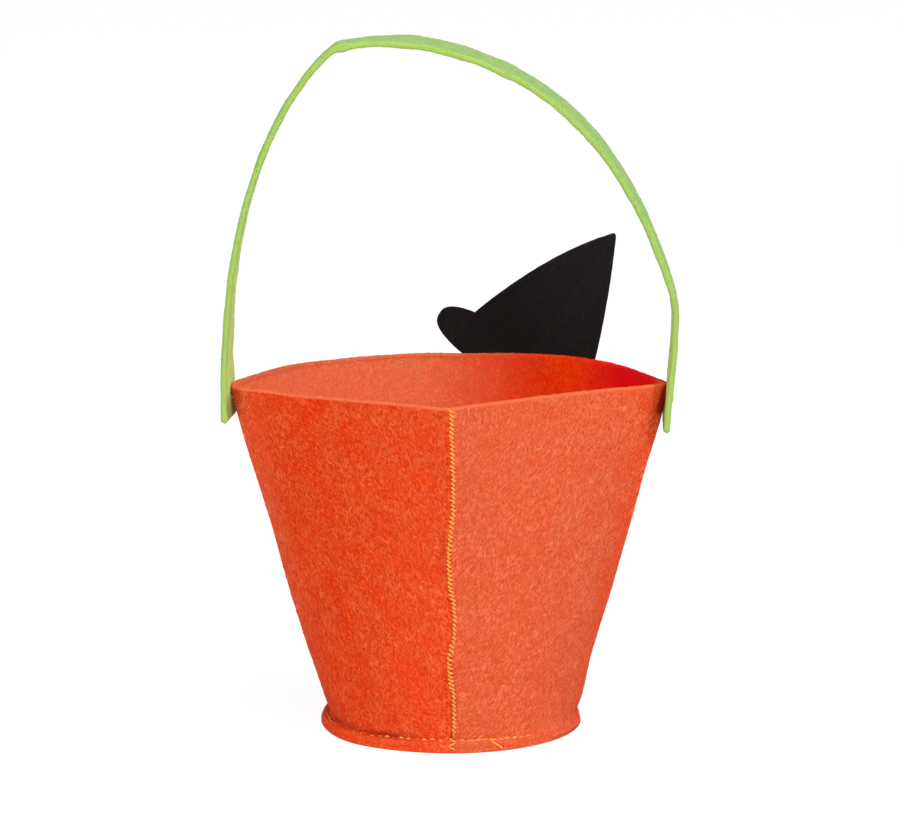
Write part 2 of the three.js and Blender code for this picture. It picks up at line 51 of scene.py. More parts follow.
# Camera, lamps and floor, in metres: the camera looks down by its drop in degrees, and a lamp is a name, a place, the
# width of its disc and its power
CAMERA_PLACE, CAMERA_DROP = (-0.0005, -3.1265, 0.8437), 12.562
LENS, SENSOR_WIDTH = 275.27, 36.0
LAMP_AIM = (0, 0, 0.16)
LAMPS = [
    ("key", (1.85, -1.5, 1.7), 0.7, 39),
    ("fill", (-1.6, -2.0, 1.2), 1.4, 32),
    ("top", (0.3, -0.6, 2.2), 1.4, 21),
]
WORLD_FILL = 0.4
FLOOR_HALF, FLOOR_WHITE, FLOOR_GLOW, GLOW_SHARE = 9.0, 0.86, 1.12, 0.8

# Felt, thread and clearances
WALL_FELT = 3.0
BASE_FELT = 2.5
STRAP_FELT = 3.0
TRIM_FELT = 2.0
SEAT_GAP = 0.3

# Base and flange
NECK_RADIUS = 57.6
FLANGE_RADIUS = 60.4
BASE_RADIUS = 61.0
FOLD_RADIUS = 0.8
INNER_CORNER = 0.5
SIDE_BELLY = 1.7
OUTER_CORNER = INNER_CORNER + WALL_FELT
CORE_RADIUS = NECK_RADIUS - OUTER_CORNER
FLANGE_TOP = BASE_FELT + SEAT_GAP + WALL_FELT
FOLD_TOP = FLANGE_TOP + FOLD_RADIUS
RIM_EDGE = 1.15  # rounding of the cut edges at the rim and the lip
LIP_LAP = 0.35  # how far the lip's edge comes down past the top of the base
LIP_CUT = 0.4  # how clearly the lip and the base show as cut

# Mouth: four runs of the wall's inner line at the rim, each as start, two pulls and end
RIM_HEIGHT = 164.0
SEAM_GAP = 0.12
MOUTH_BACK = np.array([0.0, -66.0, 164.9])
MOUTH_LEFT = np.array([-98.0, 0.0, 161.0])
MOUTH_FRONT = np.array([22.0, 52.5, 164.4])
MOUTH_RIGHT = np.array([97.0, 0.0, 162.2])
MOUTH_RUNS = [
    (MOUTH_BACK - [SEAM_GAP / 2, 0, 0], [-30.0, 15.5], [33.0, -25.0], MOUTH_LEFT),
    (MOUTH_LEFT, [33.0, 54.5], [-77.0, 0.0], MOUTH_FRONT),
    (MOUTH_FRONT, [33.0, 0.0], [-25.5, 54.5], MOUTH_RIGHT),
    (MOUTH_RIGHT, [-31.5, -18.5], [29.0, 23.5], MOUTH_BACK + [SEAM_GAP / 2, 0, 0]),
]

# Handle strap
STRAP_WIDTH = 25.0
STRAP_EDGE = 1.3
END_ROUNDING = 1.2
KINK_LUMP = 1.1
LEFT_CLEARANCE, RIGHT_CLEARANCE = 1.25, 0.9
HINGE_Z = 155.0
LEFT_ROOT = MOUTH_LEFT[0] - OUTER_CORNER - LEFT_CLEARANCE - STRAP_FELT / 2
RIGHT_ROOT = MOUTH_RIGHT[0] + OUTER_CORNER + RIGHT_CLEARANCE + STRAP_FELT / 2
LEFT_TAIL, RIGHT_TAIL = 16.0, 20.0
LEFT_END = np.array([LEFT_ROOT + 1.0, MOUTH_LEFT[2] - LEFT_TAIL])
RIGHT_END = np.array([RIGHT_ROOT - 2.9, MOUTH_RIGHT[2] - RIGHT_TAIL - 2.0])
KINK = np.array([-52.2, MOUTH_LEFT[2] + 159.8])
FLANK = np.array([14.3, MOUTH_LEFT[2] + 153.1])
FLANK_WAY = np.array([math.cos(math.radians(-20.9)), math.sin(math.radians(-20.9))])
SHOULDER = np.array([RIGHT_ROOT - 0.5, MOUTH_RIGHT[2] + 44.0])

# Stitches
THREAD_RADIUS = 0.37
ZIGZAG_WIDTH = 1.4
ZIGZAG_PITCH = 2.05
RUNNING_PITCH = 3.7
STITCH_RADIUS = 58.9
SEWING_START = math.radians(3)  # from the back seam to each end of the base stitching
HOLES_ASIDE = 2.6  # from the zigzag to its row of needle holes
KNOT_RADIUS = 0.75

# Cut-outs
TRIM_EDGE = 0.55
HAT_X, HAT_Z, HAT_TILT = 40.0, 166.0, math.radians(33.5)
CROWN_HEIGHT, CROWN_LEFT, CROWN_RIGHT = 69.3, 33.7, 30.0
LEFT_BULGE, RIGHT_BULGE, TIP_ROUNDING = 3.0, 1.4, 4.2
BRIM_HALF, BRIM_RISE, BRIM_DROP, BRIM_FULLNESS = 47.4, 11.6, 10.7, 2.6
EYE_X, EYE_Z, EYE_WIDTH, EYE_HEIGHT = 25.0, 97.0, 27.0, 23.0
NOSE_Z, NOSE_WIDTH, NOSE_HEIGHT = 76.0, 15.0, 12.0
GRIN_Z, GRIN_WIDTH, GRIN_SAG, GRIN_DEPTH = 62.0, 84.0, 26.0, 15.0
TOOTH_WIDTH, TOOTH_HEIGHT = 10.0, 7.0

# Loose fibres: how many, their shortest and longest, their thinnest and thickest half-width, the spread of their
# heading in degrees and how high they stand
WALL_LYING = 15000, (1.6, 4.6), (0.04, 0.09), 32, 0.12
WALL_STANDING = 3500, (1.2, 3.0), (0.04, 0.07), 75, 0.3
WALL_RIM = 4000, (0.4, 1.1), (0.03, 0.05), 180, 0.2
STRAP_LYING = 5000, (1.0, 3.0), (0.04, 0.07), 60, 0.15
STRAP_EDGES = 1400, (0.5, 1.2), (0.03, 0.05), 180, 0.25
# The wall has none further out and higher than this, and the strap none lower than this, where they rub together
WALL_BARE_X, WALL_BARE_Z, STRAP_BARE_Z = 93, 134, 170

# Felt and thread patterns: how much of each effect shows, the part of the turn of the fibres' lie and of the
# painted light with it that comes before the back seam, how far the fibres stray in mm, and turns of a ply per mm
MOTTLE_SHARE, PIT_SHARE, HAIR_SHARE = 0.38, 0.8, 0.6
LEFT_NAP_AND_PAINTED_LIGHT = 0.22
STRAY = 3.0
PLY_TURN = 1.1


# Camera and light

def add_camera():
    """The photograph's view: from 3.2 m away, looking down a little on the rim."""
    data = bpy.data.cameras.new("camera")
    data.sensor_width = SENSOR_WIDTH
    data.lens = LENS
    camera = bpy.data.objects.new("camera", data)
    camera.location = CAMERA_PLACE
    camera.rotation_euler = (math.radians(90 - CAMERA_DROP), 0, 0)
    bpy.context.scene.collection.objects.link(camera)
    bpy.context.scene.camera = camera


def add_area_light(name, place, size, power):
    data = bpy.data.lights.new(name, "AREA")
    data.shape = "DISK"
    data.size = size
    data.energy = power
    lamp = bpy.data.objects.new(name, data)
    lamp.location = place
    x, y, z = np.subtract(place, LAMP_AIM)
    lamp.rotation_euler = (math.atan2(math.hypot(x, y), z), 0, math.atan2(x, -y))
    bpy.context.scene.collection.objects.link(lamp)


def new_material(name):
    material = bpy.data.materials.new(name)
    material.use_nodes = True
    material.node_tree.nodes.clear()
    return material, material.node_tree


def add_node(tree, kind, inputs=None, **settings):
    """A node of the given kind, with its settings. Each input is linked from a socket or set to a value, where a
    colour is three numbers."""
    node = tree.nodes.new(kind)
    for name, value in settings.items():
        setattr(node, name, value)
    for name, value in (inputs or {}).items():
        socket = node.inputs[name]
        if isinstance(value, bpy.types.NodeSocket):
            tree.links.new(value, socket)
        else:
            socket.default_value = (*value, 1) if socket.type == "RGBA" else value
    return node


def calc(tree, operation, a, b=0.0, c=0.0):
    return add_node(tree, "ShaderNodeMath", {0: a, 1: b, 2: c}, operation=operation).outputs[0]


def mix_color(tree, share, a, b):
    return add_node(tree, "ShaderNodeMix", {0: share, 6: a, 7: b}, data_type="RGBA").outputs[2]


def ramp(tree, value, low, high, to_low=0.0, to_high=1.0):
    """The value, stretched from low..high to to_low..to_high and held between them."""
    ends = {"Value": value, "From Min": low, "From Max": high, "To Min": to_low, "To Max": to_high}
    return add_node(tree, "ShaderNodeMapRange", ends).outputs["Result"]


def mix_shaders(tree, share, a, b):
    return add_node(tree, "ShaderNodeMixShader", {0: share, 1: a, 2: b}).outputs[0]


def seen_directly(tree):
    """1 where the camera sees the surface, straight, by a reflection or through something clear."""
    path = add_node(tree, "ShaderNodeLightPath").outputs
    seen = calc(tree, "MAXIMUM", path["Is Camera Ray"], path["Is Glossy Ray"])
    return calc(tree, "MAXIMUM", seen, path["Is Transmission Ray"])


def add_studio():
    """A white floor that keeps a soft shadow, a white world and three soft lamps."""
    world = bpy.data.worlds.new("studio")
    world.use_nodes = True
    bpy.context.scene.world = world
    tree = world.node_tree
    tree.nodes.clear()
    seen = seen_directly(tree)
    fill = add_node(tree, "ShaderNodeBackground", {"Color": (1, 1, 1), "Strength": WORLD_FILL})
    white = add_node(tree, "ShaderNodeBackground", {"Color": (1, 1, 1), "Strength": 1.0})
    mixed = mix_shaders(tree, seen, fill.outputs[0], white.outputs[0])
    add_node(tree, "ShaderNodeOutputWorld", {"Surface": mixed})

    mesh = bpy.data.meshes.new("floor")
    corners = [(x * FLOOR_HALF, y * FLOOR_HALF, 0) for x, y in ((-1, -1), (1, -1), (1, 1), (-1, 1))]
    mesh.from_pydata(corners, [], [(0, 1, 2, 3)])
    floor = bpy.data.objects.new("floor", mesh)
    bpy.context.scene.collection.objects.link(floor)
    material, tree = new_material("pale floor")
    seen = seen_directly(tree)
    paper = add_node(tree, "ShaderNodeBsdfDiffuse", {"Color": (FLOOR_WHITE,) * 3})
    glow = add_node(tree, "ShaderNodeEmission", {"Color": (1, 1, 1), "Strength": FLOOR_GLOW})
    bright = mix_shaders(tree, GLOW_SHARE, paper.outputs[0], glow.outputs[0])
    mixed = mix_shaders(tree, seen, paper.outputs[0], bright)
    add_node(tree, "ShaderNodeOutputMaterial", {"Surface": mixed})
    floor.data.materials.append(material)

    for lamp in LAMPS:
        add_area_light(*lamp)
    bpy.context.scene.view_settings.view_transform = "Standard"


# Meshes from grids of points

def surface(name, points, uv, masks=None):
    """A closed mesh from a grid of points in millimetres, rows by ring points. Each cell between two rows is one
    face, the ring closes on itself, and each end ring is capped by joining its point k to its point last - k. uv has
    one column more than the points, for the ring's closing cell."""
    rows, ring = points.shape[:2]
    i, j = (a.ravel() for a in np.mgrid[: rows - 1, :ring])
    corners = [(i, j), (i + 1, j), (i + 1, j + 1), (i, j + 1)]
    k = np.arange(ring // 2 - 1)
    cap = np.stack([k, k + 1, ring - 2 - k, ring - 1 - k], 1)
    faces = np.stack([a * ring + b % ring for a, b in corners], 1)
    faces = np.concatenate([faces, cap, cap[:, ::-1] + (rows - 1) * ring])
    face_uv = np.stack([uv[a, b] for a, b in corners], 1)
    face_uv = np.concatenate([face_uv, uv[0][cap], uv[-1][cap[:, ::-1]]])
    flat = points.reshape(-1, 3)
    a, b, c, d = (flat[faces[:, n]] for n in range(4))
    volume = (np.cross(b - a, c - a) * a).sum() + (np.cross(c - a, d - a) * a).sum()
    if volume < 0:
        faces, face_uv = faces[:, ::-1], face_uv[:, ::-1]
    return mesh_piece(name, flat, faces, face_uv, masks)


def mesh_piece(name, flat, faces, face_uv=None, masks=None):
    """An object whose mesh has the given points, in millimetres, and faces that all have as many corners."""
    sides = faces.shape[1]
    mesh = bpy.data.meshes.new(name)
    mesh.vertices.add(len(flat))
    mesh.vertices.foreach_set("co", (flat * MM).astype(np.float32).ravel())
    mesh.loops.add(faces.size)
    mesh.loops.foreach_set("vertex_index", faces.astype(np.int32).ravel())
    mesh.polygons.add(len(faces))
    mesh.polygons.foreach_set("loop_start", np.arange(0, faces.size, sides, dtype=np.int32))
    mesh.update(calc_edges=True)
    if face_uv is not None:
        sheet = mesh.uv_layers.new(name="sheet")
        sheet.uv.foreach_set("vector", face_uv.astype(np.float32).ravel())
    for mask, values in (masks or {}).items():
        layer = mesh.attributes.new(mask, "FLOAT", "POINT")
        layer.data.foreach_set("value", values.astype(np.float32).ravel())
    mesh.validate()
    mesh.shade_smooth()
    piece = bpy.data.objects.new(name, mesh)
    bpy.context.scene.collection.objects.link(piece)
    return piece


def finish_piece(piece, body, material, slot, *nodes):
    piece.data.materials.append(material)
    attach(piece, body)
    if nodes:
        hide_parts(*nodes)


def bezier(points, s):
    """Cubic curve through the first and last of four points, pulled by the middle two."""
    s = np.asarray(s)[:, None]
    a, b, c, d = np.array(points, float)
    return a * (1 - s) ** 3 + 3 * b * s * (1 - s) ** 2 + 3 * c * s**2 * (1 - s) + d * s**3


def bezier_heading(points, s):
    """The same curve's heading, not of unit length: its first derivative."""
    s = np.asarray(s)[:, None]
    a, b, c = np.diff(np.array(points, float), axis=0)
    return 3 * (a * (1 - s) ** 2 + 2 * b * s * (1 - s) + c * s**2)


def even_steps(points, steps):
    """Curve parameters at equal lengths along the curve, and the curve's length."""
    s = np.linspace(0, 1, 600)
    reach = run_length(bezier(points, s))
    return np.interp(np.linspace(0, reach[-1], steps + 1), reach, s), reach[-1]


def run_length(points):
    """Length along a line of points up to each of them. The line runs along the array's last axis but one."""
    steps = np.linalg.norm(np.diff(points, axis=-2), axis=-1)
    return np.concatenate([0 * steps[..., :1], steps], -1).cumsum(-1)


def together(*coordinates):
    """Points from coordinates that broadcast."""
    return np.stack(np.broadcast_arrays(*coordinates), -1)


def unit(vectors):
    return vectors / np.linalg.norm(vectors, axis=-1, keepdims=True)


def smooth(x, low, high):
    """0 below low, 1 above high, and a smooth rise between."""
    t = np.clip((x - low) / (high - low), 0, 1)
    return t * t * (3 - 2 * t)


def waves(places, sizes, seed, count=14):
    """A smooth random field of about -1 to 1: the mean of sine waves with random headings and phases.
    sizes is the shortest and the longest wave."""
    rng = np.random.default_rng(seed)
    heading = unit(rng.normal(size=(count, places.shape[-1])))
    length = rng.uniform(*sizes, size=count)
    phase = rng.uniform(0, 2 * math.pi, count)
    return np.sin(places @ (heading / length[:, None] * 2 * math.pi).T + phase).sum(-1) / math.sqrt(count)


# Wall: a ruled surface from the base circle to the mouth

CORNER_STEPS = 12
CORNER_SPREAD = 1.2  # width of a corner's crease at the base
# The fan of columns before each run of the mouth, and the share of its crease that lies before the corner: half a
# corner at the seam, a whole one at the left and at the right, and none at the front
CORNER_FANS = (CORNER_STEPS // 2, 0.0), (CORNER_STEPS, 0.5), (0, 0.0), (CORNER_STEPS, 0.5)


def turn(start, end):
    return math.atan2(math.sin(end - start), math.cos(end - start))


def wall_columns(steps=(112, 124, 124, 112)):
    """The wall's columns, clockwise from the back seam: the rim point, the heading of the rim there and the angle
    round the base. Steps along the mouth are even, and where it turns a corner several columns share a rim point
    while their heading turns."""
    rims, headings, reaches = [], [], []
    reach, before = 0.0, math.pi
    for (start, pull, push, end), count, (fan, lean) in zip(MOUTH_RUNS, steps, CORNER_FANS):
        curve = [start, start + [*pull, 0], end + [*push, 0], end]
        s, length = even_steps(curve, count)
        line, way = bezier(curve, s), bezier_heading(curve, s)
        angle = np.arctan2(way[:, 1], way[:, 0])
        share = np.linspace(0, 1, fan + 1)[:-1]
        spread = CORNER_SPREAD * fan / CORNER_STEPS
        along = reach + np.linspace(0, length, count + 1)[:-1]
        along[0] += spread * (1 - lean)
        rims += [np.repeat(line[:1], fan, 0), line[:-1]]
        headings += [before + turn(before, angle[0]) * share, angle[:-1]]
        reaches += [reach + spread * (share - lean), along]
        reach += length
        before = angle[-1]
    share = np.linspace(0, 1, CORNER_STEPS // 2 + 1)
    rims.append(np.repeat(line[-1:], len(share), 0))
    headings.append(before + turn(before, math.pi) * share)
    reaches.append(reach + CORNER_SPREAD / 2 * (share - 1))
    rim, heading, along = (np.concatenate(a) for a in (rims, headings, reaches))
    seam = SEAM_GAP / 2 / CORE_RADIUS
    around = seam + (2 * math.pi - 2 * seam) * along / reach
    return rim, np.unwrap(heading), np.maximum.accumulate(around), reach


RIM, HEADING, AROUND, MOUTH_LENGTH = wall_columns()
COLUMN = np.arange(len(RIM), dtype=float)


def radial(around):
    """Outward in plan at an angle round the base, clockwise from the back seam."""
    return together(-np.sin(around), -np.cos(around), 0)


def wall_at(column, t, offset):
    """Points of the wall: along the straight line from the base circle to the rim at share t, then outward in plan
    by the offset. The sides also bow out, most half way up. Column, t and offset are arrays that broadcast."""
    column, t, offset = np.broadcast_arrays(np.asarray(column, float), t, offset)
    rim = np.stack([np.interp(column, COLUMN, RIM[:, k]) for k in range(3)], -1)
    heading = np.interp(column, COLUMN, HEADING)
    around = np.interp(column, COLUMN, AROUND)
    base = radial(around) * CORE_RADIUS + [0, 0, FOLD_TOP]
    point = base + (rim - base) * t[..., None]
    round_part = 2 * math.pi * CORE_RADIUS * (1 - t)
    pinched = MOUTH_LENGTH * t
    x = -np.cos(around) * round_part + np.cos(heading) * pinched
    y = np.sin(around) * round_part + np.sin(heading) * pinched
    size = np.hypot(x, y)
    point = point + together(-y / size, x / size, 0) * offset[..., None]
    point[..., 0] -= SIDE_BELLY * np.sin(around) ** 3 * (1 - np.clip(2 * t - 1, -1, 1) ** 4)
    return point


# How the felt settles: pressed thinner at the sides of the base, its lip curled up at the left and running out in a
# plain flare at the right, and the mouth's corners pressed against the strap
PRESS = 0.42
LIP_CURL = 1.1
LIP_DROOP = 1.3
NECK_DRAW = 1.5
BASE_BULGE, BULGE_AT, BULGE_SPREAD = 1.8, math.radians(42), math.radians(19)
FLARE_RADIUS, FLARE_SLOPE = 60.9, 0.34
CORNER_FILL = 1.1
FAR_RISE, NEAR_SINK = 1.6, 0.7
CREASE_Z = 5.9  # the shaded crease at the foot of the wall


def settled(points):
    """Sewn felt as it lies. Heights under about 25 mm are pressed down most at the two sides, and the lip outside the
    fold is bent up on the left and down on the right, more with distance from the fold. At the right, wall, lip and
    base run on in one cone, whose radius falls evenly with height. The mouth's two corners are pushed out a little,
    and at the left one the far rim stands up and the near rim sinks."""
    x, y, z = (points[..., k].copy() for k in range(3))
    r = np.hypot(x, y)
    side = x / np.maximum(r, 1)
    z *= 1 - PRESS * side**2 * (1 - smooth(z, 7, 30))
    lip = np.clip((r - NECK_RADIUS) / (FLANGE_RADIUS - NECK_RADIUS), 0, 1) * (1 - smooth(z, 7, 12))
    z += lip * smooth(z, 0.2, 3) * (LIP_CURL * smooth(-side, 0.55, 1) - LIP_DROOP * smooth(side, 0.2, 1))
    neck = NECK_DRAW * side**2 * smooth(-side, -0.5, 0.2) * smooth(r, 46, 53)
    neck *= smooth(z, 1.5, 7) * (1 - smooth(z, 9, 34))
    bearing = (np.arctan2(-y, -x) - BULGE_AT) / BULGE_SPREAD
    bulge = BASE_BULGE * np.exp(-(bearing**2)) * (1 - smooth(z, 5, 12)) * smooth(r, 50, 58)
    flare = smooth(side, 0.3, 0.8) * (1 - smooth(z, 6, 9.5)) * smooth(r, 55.5, 57.2)
    radius = r + bulge - neck
    radius += flare * (FLARE_RADIUS - FLARE_SLOPE * z - radius)
    scale = radius / np.maximum(r, 1e-6)
    left_corner = smooth(z, 125, 158) * smooth(-x, 50, 92)
    fill = CORNER_FILL * side * np.abs(side) * smooth(np.abs(x), 60, 99) * smooth(z, 112, 150)
    z += left_corner * (FAR_RISE * smooth(y, -3, 5) - NEAR_SINK * smooth(-y, -1, 5))
    return together(x * scale + fill, y * scale, np.maximum(z, 0.02))


def quarter(count):
    return np.linspace(0, math.pi / 2, count + 1)


def wall_grid():
    """The wall's section at each column, as a ring: down the outside from the rim, round the fold, over the lip,
    down its edge, back under it, up the inside and over the rim. Cut edges are rounded by quarter circles, and rows
    lie closer near the rim. Beside the points it gives a mask of the cut edges and one of the inside."""
    edge, tall = RIM_EDGE, MOUTH_BACK[2] - FOLD_TOP
    columns = COLUMN[:, None]
    outward = radial(AROUND)[:, None, :]
    ring, mask, inner = [], [], []

    def lofted(t, offset, cut, inside=0.0):
        ring.append(wall_at(columns, t[None], np.atleast_1d(offset)[None]))
        mask.append(np.broadcast_to(cut, len(t)))
        inner.append(np.full(len(t), inside))

    def lathed(r, z, cut=0.0, inside=0.0):
        ring.append(outward * r[:, None] + np.outer(z, [0, 0, 1]))
        mask.append(np.broadcast_to(cut, len(r)))
        inner.append(np.full(len(r), inside))

    rows = np.concatenate([np.linspace(0, 7, 7)[:-1], np.linspace(7, tall - edge, 62)]) + edge
    t = 1 - rows / tall
    lofted(t, OUTER_CORNER, 1 - smooth(rows, 0.5, 1.5))
    a = quarter(6)[1:]
    centre = NECK_RADIUS + FOLD_RADIUS
    lathed(centre - FOLD_RADIUS * np.cos(a), FOLD_TOP - FOLD_RADIUS * np.sin(a))
    side = BASE_RADIUS + 0.04
    end = side - edge
    out = np.linspace(centre, end, 4)[1:]
    lathed(out, 0 * out + FLANGE_TOP)
    lathed(end + edge * np.sin(a), FLANGE_TOP - edge * (1 - np.cos(a)), LIP_CUT)
    low = BASE_FELT - LIP_LAP
    drop = np.linspace(FLANGE_TOP - edge, low + 0.3, 5)[1:]
    lathed(side + 0 * drop, drop, LIP_CUT)
    lathed(side - np.array([0.25, 0.5, 1.5]), np.array([low, low, BASE_FELT]), LIP_CUT)
    fold = FOLD_RADIUS + WALL_FELT
    lathed(centre - fold * np.sin(a[:-1]), FOLD_TOP - fold * np.cos(a[:-1]), inside=1.0)
    lofted(t[::-1], INNER_CORNER, 1 - smooth(rows[::-1], 1.2, 3.5), inside=1.0)
    a = quarter(5)[1:]
    lofted(1 - edge / tall * (1 - np.sin(a)), INNER_CORNER + edge * (1 - np.cos(a)), 1.0)
    a = quarter(5)[:0:-1]
    lofted(1 - edge / tall * (1 - np.sin(a)), OUTER_CORNER - edge * (1 - np.cos(a)), 1.0)
    return np.concatenate(ring, 1), np.concatenate(mask), np.concatenate(inner)


def sheet_uv(points, across):
    """Places on the flat sheet, in millimetres: across is given, and the second is the length along each ring."""
    along = run_length(np.concatenate([points, points[:, :1]], 1))
    return together(across, along)


class Strands:
    """Loose fibres on a finished sheet. Each is a thin closed spindle: a root in the felt, three points round its
    middle and a tip. It starts at a random place in one of the chosen cells of the sheet's grid, where wide rows get
    more than narrow ones, and heads along the flat sheet at a random angle to the sheet's length; a and b, the steps
    along the cell's two edges that give that heading, come from the cell's own places on the flat sheet. No fibre
    starts where the mask bare is set, as the strap rubs on the wall there. Outward is 1 or -1, whichever turns the
    cells' own normals out: the sign of the closed grid's volume."""

    def __init__(self, points, uv, nap, bare, cells, seed):
        self.points, self.uv, self.nap, self.bare, self.cells = points, uv, nap, bare, cells
        self.random = np.random.default_rng(seed)
        step = np.linalg.norm(np.diff(points[:, cells], axis=0), axis=2).mean(1)
        self.row_share = step / step.sum()
        self.made, self.shades, self.naps = [], [], []
        along, over = np.roll(points, -1, 1) - points, np.concatenate([points[1:], points[-1:]]) - points
        self.outward = math.copysign(1.0, (np.cross(over, along) * points).sum())

    def scatter(self, count, length, width, lean, lift):
        rng = self.random
        i = rng.choice(len(self.row_share), count, p=self.row_share)
        j = rng.choice(self.cells, count)
        corner, uv = self.points[i, j], self.uv[i, j]
        edge_a, edge_b = self.points[i + 1, j] - corner, self.points[i, j + 1] - corner
        step_a, step_b = self.uv[i + 1, j] - uv, self.uv[i, j + 1] - uv
        share = rng.uniform(size=(2, count, 1))
        root = corner + edge_a * share[0] + edge_b * share[1]
        out = np.cross(edge_a, edge_b)
        size = np.linalg.norm(out, axis=1, keepdims=True)
        area = step_a[:, 0] * step_b[:, 1] - step_a[:, 1] * step_b[:, 0]
        good = (size[:, 0] > 1e-4) & (np.abs(area) > 1e-4) & ~self.bare[i, j]
        angle = np.radians(rng.normal(0, lean, count)) + math.pi * rng.integers(0, 2, count)
        u, v = np.sin(angle), np.cos(angle)
        safe = np.where(good, area, 1)
        a = (u * step_b[:, 1] - v * step_b[:, 0]) / safe
        b = (v * step_a[:, 0] - u * step_a[:, 1]) / safe
        way = edge_a * a[:, None] + edge_b * b[:, None]
        way /= np.maximum(np.linalg.norm(way, axis=1, keepdims=True), 1e-6)
        out = out / np.maximum(size, 1e-9) * self.outward
        side = np.cross(way, out)
        reach = rng.uniform(*length, size=(count, 1))
        rise = lift * rng.uniform(0.2, 1, size=(count, 1)) ** 2
        sway = 0.12 * reach * rng.normal(size=(count, 1))
        half = rng.uniform(*width, size=(count, 1))
        middle = root + way * reach * 0.5 + side * sway + out * rise
        tip = root + way * reach + out * (rise * rng.uniform(-0.6, 1.6, size=(count, 1)))
        ring = [middle + half * (side * math.cos(k) + out * math.sin(k)) for k in (0.5, 2.6, 4.7)]
        strands = np.stack([root - out * 0.08, *ring, tip], 1)[good]
        self.made.append(strands)
        self.shades.append(rng.uniform(size=(len(strands), 1)))
        self.naps.append(self.nap[i, j][good][:, None])

    def build(self, name, body, material, slot):
        points = np.concatenate(self.made)
        corners = np.array([[0, 1, 2], [0, 2, 3], [0, 3, 1], [4, 2, 1], [4, 3, 2], [4, 1, 3]])
        a, b, c = (points[:, corners[:, k]] for k in range(3))
        if (np.cross(b - a, c - a) * a).sum() < 0:
            corners = corners[:, ::-1]
        faces = (np.arange(len(points))[:, None, None] * 5 + corners).reshape(-1, 3)
        masks = {"shade": self.shades, "nap": self.naps}
        masks = {mask: np.repeat(np.concatenate(values), 5, 1) for mask, values in masks.items()}
        piece = mesh_piece(name, points.reshape(-1, 3), faces, masks=masks)
        finish_piece(piece, body, material, slot)


def ruffled(points, amount, sizes, seed):
    """Points moved a little by random waves, each axis by a field of its own, as felt is never quite even."""
    return points + amount * np.stack([waves(points, sizes, seed + k) for k in range(3)], -1)


def nap_at(points):
    """How far the fibres lie towards the viewer, which also paints light: where it is 1 the felt takes paler tones,
    standing for the light on the right of the back and on the left of the front. At the back it goes from 0 on the
    left to 1 on the right of the seam, and at the front it falls from 1 on the left to 0 on the right."""
    x, y = points[..., 0], points[..., 1]
    back = smooth(-y, -10, 20)
    across = smooth(x, -62, 1.5) * LEFT_NAP_AND_PAINTED_LIGHT + smooth(x, -0.2, 0.6) * (1 - LEFT_NAP_AND_PAINTED_LIGHT)
    return across * back + (1 - back) * (1 - smooth(x, -10, 75))


def make_wall(material, fibres):
    points, cut, inner = wall_grid()
    points = settled(points)
    height = np.clip(points[..., 2] / RIM_HEIGHT, 0, 1)
    length = 2 * math.pi * CORE_RADIUS * (1 - height) + MOUTH_LENGTH * height
    across = (AROUND / (2 * math.pi) - 0.5)[:, None] * length
    uv = sheet_uv(points, np.concatenate([across, across[:, :1]], 1))
    stirred = ruffled(points, 0.2, (30, 70), SEED)
    stirred = ruffled(stirred, 0.035, (2.5, 6), SEED + 5)
    points = points + (stirred - points) * smooth(points[..., 2:3], 0, 4)
    ripple = 0.12 * waves(points * [1, 1, 0], (25, 60), SEED + 9) + 0.1 * waves(points, (2, 5), SEED + 12)
    points[..., 2] += smooth(height, 0.9, 1) * ripple
    # Painted light: the fibres' lie also makes the felt paler on the right of the back and on the left of the front
    nap = nap_at(points)
    x, y, z = (points[..., k] for k in range(3))
    far = smooth(y, -6, 6)
    # Painted light: the inside of the basket and the top of its rim take paler, brighter tones than the outside
    inside = np.maximum(inner, smooth(z, 150, 160) * (cut > 0.9))
    # Painted shade in the crease at the foot of the wall, on the back and the left
    crease = np.exp(-(((z - CREASE_Z) / 0.9) ** 2)) * smooth(-y, -10, 30) * smooth(-x, 0, 34)
    share = (z - FOLD_TOP) / (MOUTH_RIGHT[2] - FOLD_TOP)
    corner = CORE_RADIUS + (MOUTH_RIGHT[0] - CORE_RADIUS) * share + OUTER_CORNER
    # Painted shadow on the wall's right corner next to the strap, near the rim, where the strap keeps the light off
    painted_strap_shadow = smooth(x - corner, -2.6, -0.9) * smooth(z, 144, 151)
    masks = {
        "cut_edge": cut * (1 - smooth(y, 2, 12) * smooth(x, 0, 60)),
        "nap": nap,
        "inside": inside,
        # Painted shade: deep red inside the front wall towards the right, like light bounced between the red walls
        "glow": inside * smooth(x, -24, 52) * far,
        # Painted shade: the deepest red, inside the front wall at its far right
        "ruby": inside * smooth(x, 54, 82) * far,
        "dusk": np.maximum(painted_strap_shadow, 0.85 * crease) * (1 - inner),
    }
    piece = surface("felt_wall", points, uv, masks)
    finish_piece(piece, "basket", material, "orange_felt", "wall_panel")

    outside = np.flatnonzero((inner == 0) & (cut < 1))[:-1]
    outside = outside[(points[0, outside, 2] > 9) & (outside > 7)]
    bare = (np.abs(x) > WALL_BARE_X) & (z > WALL_BARE_Z)
    loose = Strands(points, uv, nap, bare, outside, SEED + 200)
    loose.scatter(*WALL_LYING)
    loose.scatter(*WALL_STANDING)
    rim = np.flatnonzero(cut > 0.9)
    rim = rim[(points[0, rim, 2] > 150) & (rim < points.shape[1] - 1)]
    loose.cells = np.union1d(rim, np.arange(4))
    loose.scatter(*WALL_RIM)
    loose.build("wall_fibres", "basket", fibres, "orange_felt")


